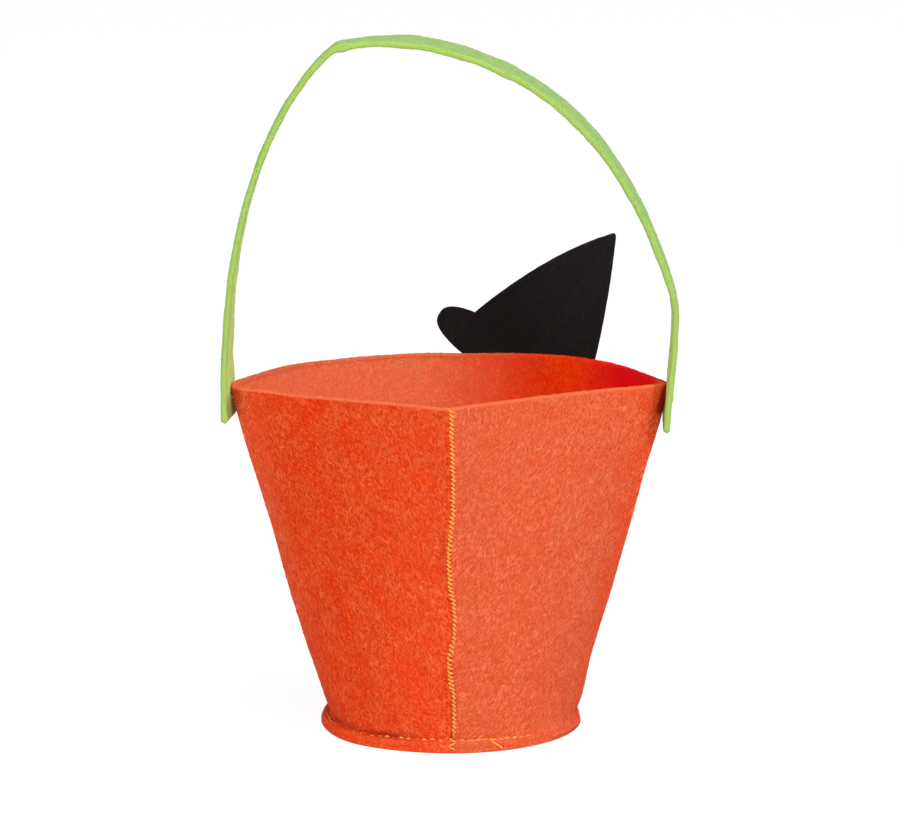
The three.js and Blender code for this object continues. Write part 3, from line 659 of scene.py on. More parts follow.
def make_base(material):
    """A round disc of felt, as rings from the middle of its top out to its edge and back underneath, with the edge
    rounded most below. Its sheet lies flat, and down the edge the sheet's radius is the length of the profile."""
    edge, hub = 0.35, 0.4
    a = quarter(4)[1:]
    flat = np.linspace(hub, BASE_RADIUS - edge, 26)
    side = np.linspace(BASE_FELT - 0.1, edge, 5)
    r = np.concatenate([flat, 0 * side + BASE_RADIUS, BASE_RADIUS - edge + edge * np.cos(a), flat[-2::-1]])
    z = np.concatenate([0 * flat + BASE_FELT, side, edge - edge * np.sin(a), 0 * flat[1:]])
    along = hub + run_length(together(r, z))[:, None]
    angle = np.linspace(0, 2 * math.pi, 241)
    points = together(r[:, None] * np.cos(angle), r[:, None] * np.sin(angle), z[:, None])
    uv = together(along * np.cos(angle), along * np.sin(angle))
    points = settled(points[:, :-1])
    stirred = ruffled(points, 0.05, (3, 8), SEED + 20)
    points = np.where(points[..., 2:3] > 0.5, stirred, points)
    cut = LIP_CUT * smooth(r, BASE_RADIUS - 1.2, BASE_RADIUS - 0.5)
    mask = np.broadcast_to(cut[:, None], points.shape[:2])
    piece = surface("felt_base", points, uv, {"cut_edge": mask, "nap": nap_at(points)})
    finish_piece(piece, "basket", material, "orange_felt", "base_disc")


# Threads

def thread_tube(name, line, radius=THREAD_RADIUS, sides=6):
    """A round tube round a line of points: each ring lies across the line's heading there, with a radius of its own
    if radius is an array. Its second UV runs along the thread in millimetres, so that the yarn's twist follows it."""
    way = unit(np.concatenate([line[1:], line[-1:]]) - np.concatenate([line[:1], line[:-1]]))
    side = unit(np.cross(way, ASLANT))
    lift = np.cross(side, way)
    angle = (np.arange(sides) * 2 * math.pi / sides)[:, None]
    thick = radius * np.ones(len(line))
    thick[[0, -1]] *= 0.6
    ring = side[:, None] * np.cos(angle) + lift[:, None] * np.sin(angle)
    points = line[:, None] + ring * thick[:, None, None]
    u = np.arange(sides + 1) / sides
    return surface(name, points, together(u, run_length(line)[:, None]))


# Where the seam's stitching runs at each height, to the right of the butted edges
SEAM_HEIGHTS = [2, 10, 16, 26, 32, 40, 45, 52, 57, 64, 70, 79, 88, 96, 105, 114, 128, 137, 149, 164]
SEAM_SIDES = [
    0.7, 1.0, 1.0, 1.0, 0.2, -0.4, -0.5, 0.6, 1.2, 1.5, 1.0, -0.2, -0.7, -0.9, -0.1, 0.7, 0.8, 0.75, 0.3, 0.0,
]
# The zigzag's last stitches, over the lip and the base: across, distance out and height over the flange
SEAM_END = [
    (1.9, 57.9, 0.75), (-0.9, 58.4, 0.5), (-0.3, 59.2, 0.3), (1.9, 60.6, -0.2), (1.5, 61.25, -1.2),
    (-1.2, 61.3, -1.9), (-0.7, 61.3, -2.8), (1.7, 61.25, -3.7), (1.2, 61.1, -4.2),
]
THREAD_TAIL = [(18.0, -56.0, 5.9), (19.0, -57.9, 5.0), (21.4, -57.4, 3.3), (23.9, -56.6, 1.4)]
ASLANT = (0.31, 0.17, 0.93)  # a heading that no thread takes


def seam_wander(z):
    return np.interp(z, SEAM_HEIGHTS, SEAM_SIDES)


def seam_point(across, z, lift):
    """A point beside the back seam: across it by a signed distance, at a height, lifted off the felt's outside. Near
    the seam the felt is an arc round its corner, and past that it runs straight on along the wall."""
    column = np.where(across < 0, CORNER_STEPS / 2, COLUMN[-1] - CORNER_STEPS / 2)
    t = (z - FOLD_TOP) / (MOUTH_BACK[2] - FOLD_TOP)
    core = wall_at(column, t, 0.0)
    normal = wall_at(column, t, 1.0) - core
    side = np.sign(across)
    most = np.arccos(np.clip(-normal[..., 1], -1, 1))
    bend = np.minimum(np.abs(across) / OUTER_CORNER, most)
    rest = np.maximum(np.abs(across) - bend * OUTER_CORNER, 0)
    out = together(side * np.sin(bend), -np.cos(bend), 0)
    along = together(side * np.cos(bend), np.sin(bend), 0)
    return core + out * (OUTER_CORNER + lift)[..., None] + along * rest[..., None]


def smoothed(line, passes=2):
    """The line with its corners cut: each span gives a point at a quarter and one at three quarters."""
    for _ in range(passes):
        a, b = line[:-1], line[1:]
        cut = np.stack([a * 0.75 + b * 0.25, a * 0.25 + b * 0.75], 1).reshape(-1, line.shape[1])
        line = np.concatenate([line[:1], cut, line[-1:]])
    return line


def zigzag(top, bottom):
    """Points of a zigzag down a seam, as across, height, lift and radius: from a left needle hole down to the right
    one in a full stroke on top of the felt, then back and a little down to the next left hole, drawn in."""
    rng = np.random.default_rng(SEED + 40)
    count = int((top - bottom) / ZIGZAG_PITCH)
    holes = top - ZIGZAG_PITCH * np.arange(count)
    half = ZIGZAG_WIDTH / 2
    drops = np.array([0, 0.1, 0.4, 0.9, 1.3, 1.5, 1.6, 1.7, 1.85, 2.0])
    sides = np.array([-1.0, -0.95, -0.5, 0.3, 0.85, 1.0, 0.9, 0.4, -0.3, -0.85])
    lifts = np.array([-0.3, 0.1, 0.42, 0.5, 0.25, -0.25, -0.15, 0.0, 0.0, -0.15])
    thick = np.array([0.75, 0.95, 1.15, 1.2, 1.05, 0.8, 0.75, 0.75, 0.75, 0.75]) * THREAD_RADIUS
    jitter = rng.normal(size=(3, count, 1))
    x = sides * half * (1 + 0.1 * jitter[0]) + 0.1 * jitter[1]
    z = holes[:, None] - drops + 0.1 * jitter[2]
    lift = lifts + 0.06 * rng.normal(size=(count, 1))
    radius = np.broadcast_to(thick, x.shape) * (1 + 0.06 * jitter[0])
    return x.ravel(), z.ravel(), lift.ravel(), radius.ravel()


def make_back_seam(material):
    x, z, lift, radius = zigzag(MOUTH_BACK[2] - 0.4, FOLD_TOP + 1.5)
    line = np.column_stack([seam_point(x + seam_wander(z), z, lift), radius])
    end = np.array(SEAM_END) * [1, -1, 1] + [0, 0, FLANGE_TOP]
    end = np.column_stack([end, np.full(len(end), THREAD_RADIUS)])
    line = smoothed(np.concatenate([line, end]), 1)
    piece = thread_tube("back_seam_stitches", settled(line[:, :3]), line[:, 3])
    finish_piece(piece, "basket", material, "orange_thread", "back_seam_thread")


def make_needle_holes(material):
    """Painted shade of small hollows in a row to the left of the zigzag, where the sewing foot pressed: each a flat,
    dark closed disc of eight sides laid on the felt. Its rings are a point-sized one below, the rim and a point-sized
    one above."""
    rng = np.random.default_rng(SEED + 50)
    z = np.arange(FOLD_TOP + 3, MOUTH_BACK[2] - 1.5, ZIGZAG_PITCH)
    x = seam_wander(z) - HOLES_ASIDE + 0.15 * rng.normal(size=len(z))
    z = z + 0.12 * rng.normal(size=len(z))
    angle = np.arange(8) * math.pi / 4
    size = rng.uniform(0.12, 0.42, len(z))[:, None, None] * np.array([0.02, 1.0, 0.6, 0.02])[:, None]
    lift = np.array([-0.3, 0.0, 0.05, 0.06])[:, None] + 0 * angle
    spread = x[:, None, None] + size * np.cos(angle), z[:, None, None] + size * 1.15 * np.sin(angle)
    points = settled(seam_point(*spread, np.broadcast_to(lift, spread[0].shape)))
    discs = [surface(f"needle_hole_{k}", disc, np.zeros((4, 9, 2))) for k, disc in enumerate(points)]
    joined(discs, "needle_holes")
    finish_piece(discs[0], "basket", material, "orange_felt")


def make_base_seam(material):
    """Running stitches through the flange: the thread rises and dips between needle holes. It shows as short uneven
    loops near the back seam, and elsewhere the felt has swallowed it."""
    rng = np.random.default_rng(SEED + 60)
    sweep = 2 * (math.pi - SEWING_START)
    count = round(sweep * STITCH_RADIUS / RUNNING_PITCH)
    phase = np.linspace(0, 1, 9)[None, :-1]
    around = SEWING_START + sweep * (np.arange(count)[:, None] + phase) / count
    near = smooth(np.cos(around), *np.cos(np.radians([62, 24])))
    show = near * rng.uniform(0.15, 1.25, size=(count, 1))
    rise = 0.95 * show * np.sin(np.pi * np.clip((phase - 0.2) / 0.6, 0, 1)) - 0.45
    reach = STITCH_RADIUS + 0.5 * rng.normal(size=(count, 1)) * np.sin(np.pi * phase)
    line = radial(around) * reach[..., None]
    line[..., 2] += FLANGE_TOP + rise
    line = settled(smoothed(line.reshape(-1, 3), 1))
    hidden = smooth(line[:, :1] / STITCH_RADIUS, 0.5, 0.85)
    seam = thread_tube("base_seam_stitches", line * (1 - 0.02 * hidden * [1, 1, 0]), 0.4)
    tail = thread_tube("thread_tail", smoothed(np.array(THREAD_TAIL)), 0.42)
    joined([seam, tail], "base_seam_stitches")
    finish_piece(seam, "basket", material, "orange_thread", "base_seam_thread")


# Handle strap

STRAP_RUNS = [
    [LEFT_END, LEFT_END + [-5.6, 90.0], KINK + [-30.4, -24.5], KINK],
    [KINK, KINK + [13.5, 1.0], FLANK - 36.9 * FLANK_WAY, FLANK],
    [FLANK, FLANK + 52.3 * FLANK_WAY, SHOULDER + [-15.8, 48.5], SHOULDER],
    [SHOULDER, SHOULDER + [4.3, -12.5], RIGHT_END + [0.7, 15.2], RIGHT_END],
]
STRAP_STEPS = 180, 75, 150, 66
TWISTS = [[-10.0, -3.5, -2.3, -2.3, -6.0], [-6.0, 0.0, 0.6], [0.6, 2.5, 0.4], [0.4, 0.4]]


def strap_line():
    """The strap's middle line in x and z with its heading and twist, in even steps: up the left leg to the kink, over
    the top, down the flank of the arch and down the right leg."""
    parts = []
    for run, twist, steps in zip(STRAP_RUNS, TWISTS, STRAP_STEPS):
        at, _ = even_steps(run, steps)
        turned = np.interp(np.linspace(0, 1, steps + 1), np.linspace(0, 1, len(twist)), twist)
        parts.append(np.column_stack([bezier(run, at), bezier_heading(run, at), turned]))
    line = np.concatenate([part[:-1] for part in parts] + [parts[-1][-1:]])
    return line[:, :2], unit(line[:, 2:4]), np.radians(line[:, 4])


def softened(values, reach):
    """A running mean over reach steps to each side, with the ends held."""
    padded = np.concatenate([np.repeat(values[:1], reach, 0), values, np.repeat(values[-1:], reach, 0)])
    sums = np.cumsum(np.concatenate([0 * padded[:1], padded]), 0)
    return (sums[2 * reach + 1:] - sums[: -2 * reach - 1]) / (2 * reach + 1)


def strap_ring(edge=STRAP_EDGE, across=18):
    """Half-width and half-thickness of the strap's section as a ring of points, a rectangle with rounded corners.
    The second half of the ring mirrors the first."""
    corner_x, corner_z = STRAP_WIDTH / 2 - edge, STRAP_FELT / 2 - edge
    sin, cos = edge * np.sin(quarter(5)), edge * np.cos(quarter(5))
    flat = np.linspace(-corner_x, corner_x, across + 2)[1:-1]
    w = np.concatenate([flat, corner_x + sin, corner_x + cos])
    h = np.concatenate([0 * flat + STRAP_FELT / 2, corner_z + cos, -corner_z - sin])
    return np.concatenate([w, -w]), np.concatenate([h, -h])


def make_strap(material, fibres):
    """The strap's rounded section carried along its middle line, turned by the twist at each step. The ends are
    rounded by drawing in the last rings, and the kink is rounded on top and has a small lump under it."""
    places, ways, twists = strap_line()
    bend = np.exp(-(((np.arange(len(places)) - STRAP_STEPS[0]) / 7) ** 2))[:, None]
    places = places + (softened(places, 3) - places) * bend
    ways = unit(softened(ways, 6))
    twists = softened(twists, 8)[:, None]
    out = together(-ways[:, 1], 0, ways[:, 0])
    y = np.array([0.0, 1.0, 0.0])
    across = y * np.cos(twists) + out * np.sin(twists)
    outward = out * np.cos(twists) - y * np.sin(twists)
    middle = np.insert(places, 1, 0, 1)
    reach = run_length(middle)
    ring_w, ring_h = strap_ring()
    a = quarter(6)[:-1]
    from_end = np.minimum(reach, reach[-1] - reach)
    inset = np.interp(from_end, END_ROUNDING * (1 - np.cos(a)), END_ROUNDING * (1 - np.sin(a)), right=0)[:, None]
    w = np.sign(ring_w) * np.maximum(np.abs(ring_w) - inset, 0.2)
    h = np.sign(ring_h) * np.maximum(np.abs(ring_h) - inset * 0.9, 0.1)
    lump = KINK_LUMP * np.exp(-(((reach - reach[STRAP_STEPS[0]] - 2.2) / 3.0) ** 2))[:, None]
    h = h - lump * smooth(-h, 0, STRAP_FELT / 2)
    points = middle[:, None] + across[:, None] * w[..., None] + outward[:, None] * h[..., None]
    cut = smooth(np.abs(w), STRAP_WIDTH / 2 - 2.0, STRAP_WIDTH / 2 - 1.1)
    cut = np.maximum(cut, 1 - smooth(from_end, 0.2, 1.6)[:, None])
    uv = sheet_uv(points, reach[:, None])[..., ::-1]
    points = ruffled(points, 0.16, (9, 24), SEED + 80)
    points = ruffled(points, 0.04, (2.5, 6), SEED + 84)
    # Painted light: the strap's inner face takes paler, yellower tones than its outer face
    inside = np.broadcast_to(ring_h < 0, cut.shape) * 1.0
    # Painted shade on the inner face near each end, where the strap hangs close to the wall
    dusk = inside * (1 - smooth(from_end, 7, 17))[:, None] * (1 - cut) * 0.75
    piece = surface("felt_strap", points, uv, {"cut_edge": cut, "inside": inside, "dusk": dusk})
    finish_piece(piece, "handle", material, "green_felt", "handle_strap")

    bare = points[..., 2] < STRAP_BARE_Z
    loose = Strands(points, uv, 0 * cut, bare, np.arange(points.shape[1] - 1), SEED + 240)
    loose.scatter(*STRAP_LYING)
    loose.cells = np.flatnonzero(np.abs(ring_w) > STRAP_WIDTH / 2 - STRAP_EDGE)[:-1]
    loose.scatter(*STRAP_EDGES)
    loose.build("strap_fibres", "handle", fibres, "green_felt")


# Tacks that hold the strap

def make_tacks(material):
    """Each tack is a cross stitch drawn down on the strap, a shank through the felts and a wound knot in the corner.
    A place is given as a distance in from the cross, and the side says which way that is. The cross lies along the
    strap's outer face where the hinge line leaves it."""
    places, ways, twists = strap_line()
    across = np.linspace(-1, 1, 9)
    sunk = np.where(np.abs(across) > 0.9, 1.0, 0.15 * across**2)
    turns = np.linspace(0, 6 * math.pi, 60)
    for side, node in ((-1, "left_handle_tack"), (1, "right_handle_tack")):
        low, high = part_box(node)
        inner = (high.x if side < 0 else low.x) / MM
        k = np.argmin(np.abs(places[:, 1] - HINGE_Z) + 1e3 * (places[:, 0] * side < 0))
        outer = places[k, 0] + side * (STRAP_FELT / 2 + 0.4)
        slope = -ways[k, 1] * math.tan(twists[k])
        depth = abs(outer - inner)
        knot = np.linspace(depth - 2.2, depth - 0.4, len(turns))
        pieces = []
        for name, into, y, z, radius in (
            ("stitch_up", sunk, 2.6 * across, 2.0 * across, 0.3),
            ("stitch_down", sunk, 2.6 * across, -2.0 * across, 0.3),
            ("shank", np.linspace(0, depth - 1.2, 12), 0.0, 0.0, 0.35),
            ("knot", knot, KNOT_RADIUS * np.cos(turns), KNOT_RADIUS * np.sin(turns), 0.42),
        ):
            line = together(outer - side * into + slope * y, y, HINGE_Z + z)
            pieces.append(thread_tube(name, line, radius))
        joined(pieces, node.replace("_handle", "_strap"))
        finish_piece(pieces[0], "basket", material, "orange_thread", node)


def joined(pieces, name):
    """Puts the meshes of several pieces into the first, which keeps their UVs."""
    with bpy.context.temp_override(active_object=pieces[0], selected_editable_objects=pieces):
        bpy.ops.object.join()
    pieces[0].name = name
    pieces[0].data.name = name


# Cut-outs

def on_front(x, z, lift):
    """Points on the front of the wall that look from the front to be at x and z, lifted off its outside. The column
    is found by halving, since x falls steadily with the column on the front."""
    low, high = (np.full(x.shape, float(np.searchsorted(AROUND, k * math.pi / 2))) for k in (1, 3))
    for _ in range(26):
        middle = (low + high) / 2
        t = (z - FOLD_TOP) / (np.interp(middle, COLUMN, RIM[:, 2]) - FOLD_TOP)
        point = wall_at(middle, t, OUTER_CORNER + lift)
        low = np.where(point[..., 0] < x, middle, low)
        high = np.where(point[..., 0] < x, high, middle)
    return point


def cut_out(name, x, lower, upper, material, node, tilt=0.0, place=(0.0, 0.0), seed=0):
    """A felt shape laid on the front. At each x it runs from the lower to the upper outline; the section there is a
    rectangle as thick as the felt with rounded corners, up the outside and down the back. Each of its places is a
    share of half the flat part and a share of the rounding, with a depth."""
    edge, top = TRIM_EDGE, TRIM_FELT - TRIM_EDGE
    half = ((upper - lower) / 2)[:, None]
    inset = np.minimum(edge, half * 0.98)
    up = np.linspace(-1, 1, 22)
    sin, cos = np.sin(quarter(4)), np.cos(quarter(4))
    one, ease = 0 * sin[1:] + 1, 0 * up
    flat_share = np.concatenate([up, one, 1 + 0 * cos, -up[1:], -one, -one])
    rounding_share = np.concatenate([ease, sin[1:], cos, ease[1:], -sin[1:], -cos[:-1]])
    depth = [ease + TRIM_FELT, top + edge * cos[1:], edge - edge * sin]
    depth += [ease[1:], edge - edge * cos[1:], top + edge * sin[:-1]]
    s = (half - inset) * flat_share + inset * rounding_share
    d = np.broadcast_to(np.concatenate(depth), s.shape)
    y = (upper + lower)[:, None] / 2 + s
    x = np.broadcast_to(x[:, None], y.shape)
    uv = sheet_uv(together(s, d), x[:, :1])
    uv[..., 1] += y[:, :1]
    flat_x = x * math.cos(tilt) + y * math.sin(tilt) + place[0]
    flat_z = -x * math.sin(tilt) + y * math.cos(tilt) + place[1]
    points = on_front(flat_x, flat_z, SEAT_GAP + d)
    points = ruffled(points, 0.04, (2.5, 7), SEED + 100 + seed)
    piece = surface(name, points, uv, {"cut_edge": smooth(np.abs(s), half - 0.8, half - 0.2)})
    finish_piece(piece, "basket", material, "black_felt", node)


def brim_height(x):
    """Half the brim's height at x: a superellipse."""
    return BRIM_RISE * np.clip(1 - np.abs(x / BRIM_HALF) ** BRIM_FULLNESS, 0, 1) ** (1 / BRIM_FULLNESS)


def hat_outline():
    """Lower and upper edge of the hat over its width. The brim is a superellipse. Each side of the crown is a curve
    from its foot on the brim to just under the tip, bowed out in its middle, and a small curve rounds the tip."""
    tip = np.array([0.0, CROWN_HEIGHT])
    share = np.linspace(0, 1, 60)[:, None]

    def bowed(start, pull, end):
        return start * (1 - share) ** 2 + 2 * pull * share * (1 - share) + end * share**2

    def crown_side(x, bulge):
        foot = np.array([x, brim_height(x) - BRIM_DROP])
        length = np.linalg.norm(tip - foot)
        top = tip + (foot - tip) * TIP_ROUNDING / length
        outward = np.array([tip[1] - foot[1], foot[0] - tip[0]]) / length * np.sign(x)
        return foot, (foot + top) / 2 + 2 * bulge * outward, top

    left, right = crown_side(-CROWN_LEFT, LEFT_BULGE), crown_side(CROWN_RIGHT, RIGHT_BULGE)
    crown = np.concatenate([bowed(*left), bowed(left[2], tip, right[2])[1:-1], bowed(*right)[::-1]])
    brim = 0.9995 * BRIM_HALF * np.sin(np.linspace(-math.pi / 2, math.pi / 2, 90))
    x = np.concatenate([brim, np.linspace(-CROWN_LEFT, CROWN_RIGHT, 120), np.linspace(-3, 3, 50)])
    x = np.unique(np.round(x, 3))
    upper = np.interp(x, crown[:, 0], crown[:, 1], left=-1e3, right=-1e3)
    return x, -brim_height(x) - BRIM_DROP - 0.01, np.maximum(brim_height(x) - BRIM_DROP, upper)


def triangle_outline(width, height):
    x = np.linspace(-width / 2, width / 2, 81)
    tip = height * (1 - np.abs(x) / (width / 2))
    return x, 0 * x - height / 2 - 0.01, np.minimum(tip, height - 0.5) - height / 2


def grin_outline():
    """Two sagging curves, with two teeth down from the upper one and one up from the lower."""
    half = GRIN_WIDTH / 2
    teeth = np.array([-half / 3, 0.0, half / 3])
    sides = np.concatenate([teeth - TOOTH_WIDTH / 2, teeth + TOOTH_WIDTH / 2])
    x = np.unique(np.concatenate([np.linspace(-half, half, 121), sides - 0.02, sides + 0.02]))
    tooth = TOOTH_HEIGHT * (np.abs(x - teeth[:, None]) <= TOOTH_WIDTH / 2)
    sag = 1 - (x / half) ** 2
    return x, tooth[1] - GRIN_SAG * sag - 0.01, -(GRIN_SAG - GRIN_DEPTH) * sag - tooth[0] - tooth[2]


def make_cut_outs(material):
    eye, nose = triangle_outline(EYE_WIDTH, EYE_HEIGHT), triangle_outline(NOSE_WIDTH, NOSE_HEIGHT)
    cut_out("felt_hat", *hat_outline(), material, "witch_hat", HAT_TILT, (HAT_X, HAT_Z), 1)
    cut_out("felt_left_eye", *eye, material, "left_eye", place=(-EYE_X, EYE_Z), seed=2)
    cut_out("felt_right_eye", *eye, material, "right_eye", place=(EYE_X, EYE_Z), seed=3)
    cut_out("felt_nose", *nose, material, "nose", place=(0, NOSE_Z), seed=4)
    cut_out("felt_grin", *grin_outline(), material, "mouth", place=(0, GRIN_Z), seed=5)


# Materials

def attribute(tree, name):
    return add_node(tree, "ShaderNodeAttribute", attribute_name=name).outputs["Fac"]


def bumped(tree, height, depth):
    """A normal for a relief of the given depth in millimetres."""
    inputs = {"Height": height, "Strength": 1.0, "Distance": depth * MM}
    return add_node(tree, "ShaderNodeBump", inputs).outputs[0]


def add_shader(tree, inputs):
    shader = add_node(tree, "ShaderNodeBsdfPrincipled", inputs)
    add_node(tree, "ShaderNodeOutputMaterial", {"Surface": shader.outputs[0]})


def felt_pattern():
    """Shader group: the fibres of pressed felt on a sheet measured in millimetres. Fibre is short streaks, some along
    the sheet and some slanting, to one side where Side is 0 and to the other where it is 1. Hair is thin pale
    strands, Mottle is soft patches where the felt is thicker and Pits are small dark hollows."""
    tree = bpy.data.node_groups.new("felt pattern", "ShaderNodeTree")
    tree.interface.new_socket("Sheet", in_out="INPUT", socket_type="NodeSocketVector")
    tree.interface.new_socket("Side", in_out="INPUT", socket_type="NodeSocketFloat")
    outputs = ("Fibre", "Hair", "Mottle", "Pits", "Height")
    for name in outputs:
        tree.interface.new_socket(name, in_out="OUTPUT", socket_type="NodeSocketFloat")
    given = tree.nodes.new("NodeGroupInput").outputs
    made = tree.nodes.new("NodeGroupOutput").inputs

    def noise(place, scale, detail, roughness=0.5):
        inputs = {"Vector": place, "Scale": scale, "Detail": detail, "Roughness": roughness}
        return add_node(tree, "ShaderNodeTexNoise", inputs).outputs

    def vector_math(operation, a, b):
        return add_node(tree, "ShaderNodeVectorMath", {0: a, 1: b}, operation=operation).outputs[0]

    def streaks(angle, width, length, detail):
        turned = {"Vector": bent, "Rotation": (0, 0, math.radians(angle)), "Location": (3 * angle, 0, 0)}
        place = add_node(tree, "ShaderNodeMapping", turned).outputs[0]
        return noise(vector_math("MULTIPLY", place, (1 / width, 1 / length, 1)), 1.0, detail, 0.6)["Fac"]

    def hairs(angle, width, length):
        return calc(tree, "ABSOLUTE", calc(tree, "SUBTRACT", streaks(angle, width, length, 1.0), 0.5))

    stray = vector_math("SUBTRACT", noise(given["Sheet"], 0.2, 2.0)["Color"], (0.5, 0.5, 0.5))
    bent = vector_math("ADD", given["Sheet"], vector_math("MULTIPLY", stray, (STRAY, STRAY, STRAY)))
    along = calc(tree, "MULTIPLY_ADD", streaks(7, 0.75, 3.4, 3.0), 0.5, streaks(-9, 0.42, 1.5, 3.0))
    left, right = streaks(-34, 0.36, 1.9, 3.0), streaks(38, 0.36, 1.9, 3.0)
    slanting = calc(tree, "MULTIPLY_ADD", calc(tree, "SUBTRACT", right, left), given["Side"], left)
    fibre = ramp(tree, calc(tree, "MULTIPLY_ADD", slanting, 1.5, along), 1.24, 1.76)
    hair = ramp(tree, calc(tree, "MINIMUM", hairs(-30, 1.7, 13.0), hairs(33, 1.9, 11.0)), 0.04, 0.0)
    mottle = ramp(tree, noise(bent, 0.075, 5.0, 0.62)["Fac"], 0.34, 0.66)
    hair = calc(tree, "MULTIPLY", hair, ramp(tree, mottle, 0.25, 0.6))
    pits = ramp(tree, streaks(14, 0.9, 1.7, 1.0), 0.34, 0.22)
    height = calc(tree, "MULTIPLY_ADD", hair, 0.4, fibre)
    height = calc(tree, "MULTIPLY_ADD", pits, -0.6, height)
    for name, value in zip(outputs, (fibre, hair, mottle, pits, height)):
        tree.links.new(value, made[name])
    return tree


PATTERN = felt_pattern()


def felt_material(name, plain, cut, cut_share, sheen, sheen_tint, relief=0.25, **tones):
    """Pressed felt: the body colour, darker in its pits, lighter along its fibres, crossed by pale hairs and, in a
    broken line, of the cut colour at its edges, with the soft sheen of loose fibre ends. Plain is a set of the deep,
    body, light and hair colours, and each tone is such a set that takes over where the mask of its name is set."""
    material, tree = new_material(name)
    sheet = add_node(tree, "ShaderNodeUVMap", uv_map="sheet").outputs[0]
    inputs = {"Sheet": sheet, "Side": attribute(tree, "nap")}
    pattern = add_node(tree, "ShaderNodeGroup", inputs, node_tree=PATTERN).outputs
    for mask, others in tones.items():
        set_by = attribute(tree, mask)
        plain = [mix_color(tree, set_by, one, other) for one, other in zip(plain, others)]
    deep, body, light, hair = plain
    color = mix_color(tree, calc(tree, "MULTIPLY", pattern["Mottle"], MOTTLE_SHARE), body, deep)
    color = mix_color(tree, ramp(tree, pattern["Fibre"], 0.5, 0.08, 0.0, 0.95), color, deep)
    color = mix_color(tree, calc(tree, "MULTIPLY", pattern["Pits"], PIT_SHARE), color, deep)
    color = mix_color(tree, ramp(tree, pattern["Fibre"], 0.54, 0.92, 0.0, 0.9), color, light)
    color = mix_color(tree, calc(tree, "MULTIPLY", pattern["Hair"], HAIR_SHARE), color, hair)
    ragged = calc(tree, "MULTIPLY", attribute(tree, "cut_edge"), 1.6)
    ragged = calc(tree, "SUBTRACT", ragged, pattern["Fibre"])
    color = mix_color(tree, ramp(tree, ragged, 0.0, 0.6, 0.0, cut_share), color, cut)
    inputs = {
        "Base Color": color,
        "Roughness": ramp(tree, pattern["Fibre"], 0.0, 1.0, 0.98, 0.88),
        "Specular IOR Level": 0.08,
        "Sheen Weight": sheen,
        "Sheen Roughness": 0.5,
        "Sheen Tint": sheen_tint,
        "Normal": bumped(tree, pattern["Height"], relief),
    }
    add_shader(tree, inputs)
    return material


def fibre_material(name, dark, pale, nap=None):
    """Single loose fibres, each between a dark and a pale colour by its own shade. A second pair, if given, takes
    over as the felt's painted light turns paler with the fibres' lie.
    """
    material, tree = new_material(name)
    if nap:
        lies = attribute(tree, "nap")
        dark, pale = mix_color(tree, lies, dark, nap[0]), mix_color(tree, lies, pale, nap[1])
    color = mix_color(tree, attribute(tree, "shade"), dark, pale)
    add_shader(tree, {"Base Color": color, "Roughness": 0.8, "Specular IOR Level": 0.2})
    return material


def plain_material(name, color):
    material, tree = new_material(name)
    add_shader(tree, {"Base Color": color, "Roughness": 1.0, "Specular IOR Level": 0.0})
    return material


def thread_material(name, dark, bright):
    """Two-ply sewing thread: slanting plies that follow the thread's own length."""
    material, tree = new_material(name)
    place = add_node(tree, "ShaderNodeUVMap", uv_map="sheet").outputs[0]
    split = add_node(tree, "ShaderNodeSeparateXYZ", {0: place}).outputs
    turned = calc(tree, "MULTIPLY_ADD", split["Y"], PLY_TURN, split["X"])
    ply = ramp(tree, calc(tree, "SINE", calc(tree, "MULTIPLY", turned, 4 * math.pi)), -1.0, 1.0)
    color, normal = mix_color(tree, ply, dark, bright), bumped(tree, ply, 0.12)
    add_shader(tree, {"Base Color": color, "Roughness": 0.35, "Specular IOR Level": 0.5, "Normal": normal})
    return material


# The basket

add_camera()
add_studio()

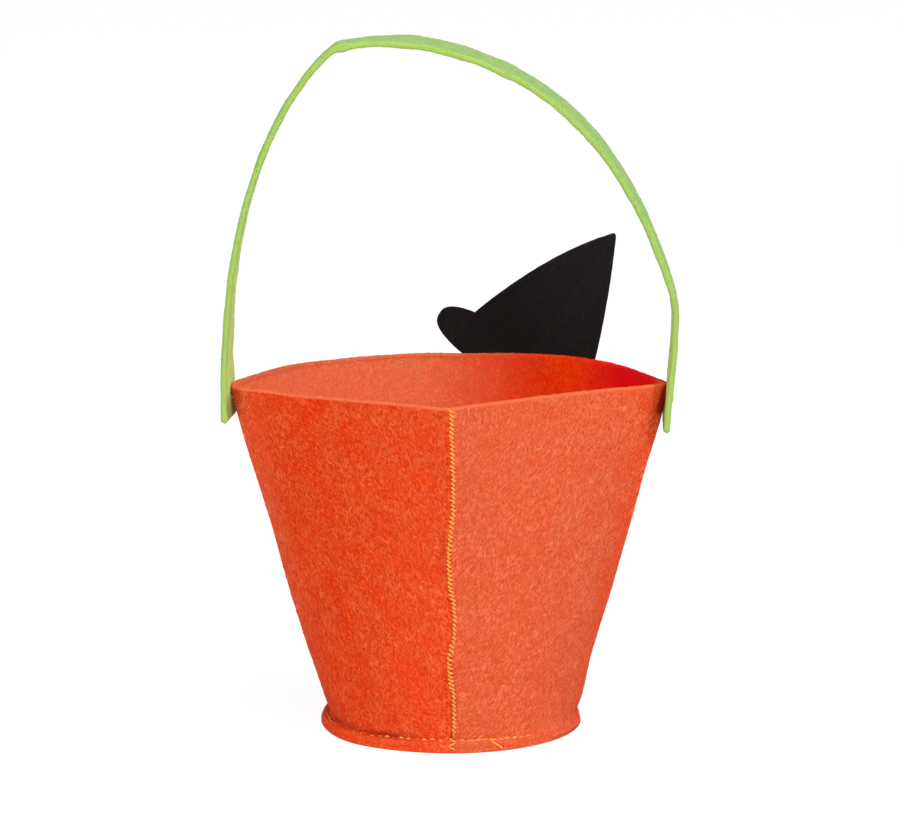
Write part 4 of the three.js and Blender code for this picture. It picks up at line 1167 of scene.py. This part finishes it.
orange = felt_material(
    "orange felt",
    plain=((0.63, 0.02, 0.004), (0.82, 0.034, 0.001), (0.96, 0.135, 0.015), (0.97, 0.19, 0.05)),
    cut=(0.7, 0.11, 0.034),
    cut_share=0.5,
    sheen=0.02,
    sheen_tint=(1.0, 0.6, 0.4),
    # painted light: paler tones where the fibres lie towards the viewer, on the lit right of the back and left of the
    # front
    nap=((0.61, 0.058, 0.013), (0.75, 0.1, 0.031), (0.87, 0.185, 0.078), (0.92, 0.24, 0.11)),
    # inside: painted light, paler and brighter inside the basket and on the rim's top
    inside=((0.96, 0.145, 0.053), (1.0, 0.19, 0.078), (1.0, 0.26, 0.125), (1.0, 0.28, 0.14)),
    # glow: painted shade, deep red where the inside lies in shade and takes light bounced off the red walls
    glow=((1.0, 0.016, 0.001), (1.0, 0.034, 0.001), (1.0, 0.1, 0.003), (1.0, 0.13, 0.004)),
    # painted deep shade: the darkest red, inside the front wall at its far right
    ruby=((0.9, 0.001, 0.005), (0.95, 0.001, 0.005), (1.0, 0.005, 0.006), (1.0, 0.008, 0.007)),
    # painted shade: the crease at the wall's foot and the right corner beside the strap
    dusk=((0.22, 0.006, 0.001), (0.3, 0.01, 0.002), (0.4, 0.02, 0.003), (0.42, 0.03, 0.006)),
)
orange_fibre = fibre_material(
    "orange fibre",
    dark=(0.76, 0.04, 0.003),
    pale=(0.92, 0.17, 0.07),
    nap=((0.76, 0.09, 0.027), (0.9, 0.23, 0.12)),
)
green = felt_material(
    "green felt",
    plain=((0.235, 0.42, 0.09), (0.275, 0.455, 0.125), (0.34, 0.5, 0.18), (0.38, 0.54, 0.23)),
    cut=(0.305, 0.47, 0.095),
    cut_share=0.9,
    sheen=0.1,
    sheen_tint=(0.95, 1.0, 0.9),
    relief=0.06,
    # inside: painted light, the strap's inner face paler and yellower than its outer face
    inside=((0.48, 0.64, 0.125), (0.54, 0.68, 0.16), (0.6, 0.72, 0.21), (0.64, 0.75, 0.26)),
    # painted shade: the inner face near the strap's ends, beside the wall
    dusk=((0.14, 0.12, 0.008), (0.18, 0.15, 0.01), (0.22, 0.19, 0.016), (0.26, 0.22, 0.03)),
)
green_fibre = fibre_material("green fibre", dark=(0.31, 0.49, 0.11), pale=(0.41, 0.57, 0.19))
black = felt_material(
    "black felt",
    plain=((0.0115, 0.0096, 0.0102), (0.0142, 0.0118, 0.0124), (0.0185, 0.0156, 0.0162), (0.021, 0.018, 0.0185)),
    cut=(0.01, 0.0085, 0.0088),
    cut_share=0.9,
    sheen=0.0,
    sheen_tint=(1, 1, 1),
)
yarn = thread_material("orange thread", (0.95, 0.24, 0.02), (1.0, 0.52, 0.09))
# The needle holes are painted shade: dark red discs where the felt dips
hole_shade_felt = plain_material("painted shade in a needle hole", (0.6, 0.025, 0.003))

make_wall(orange, orange_fibre)
make_base(orange)
make_back_seam(yarn)
make_needle_holes(hole_shade_felt)
make_base_seam(yarn)
make_strap(green, green_fibre)
make_tacks(yarn)
make_cut_outs(black)
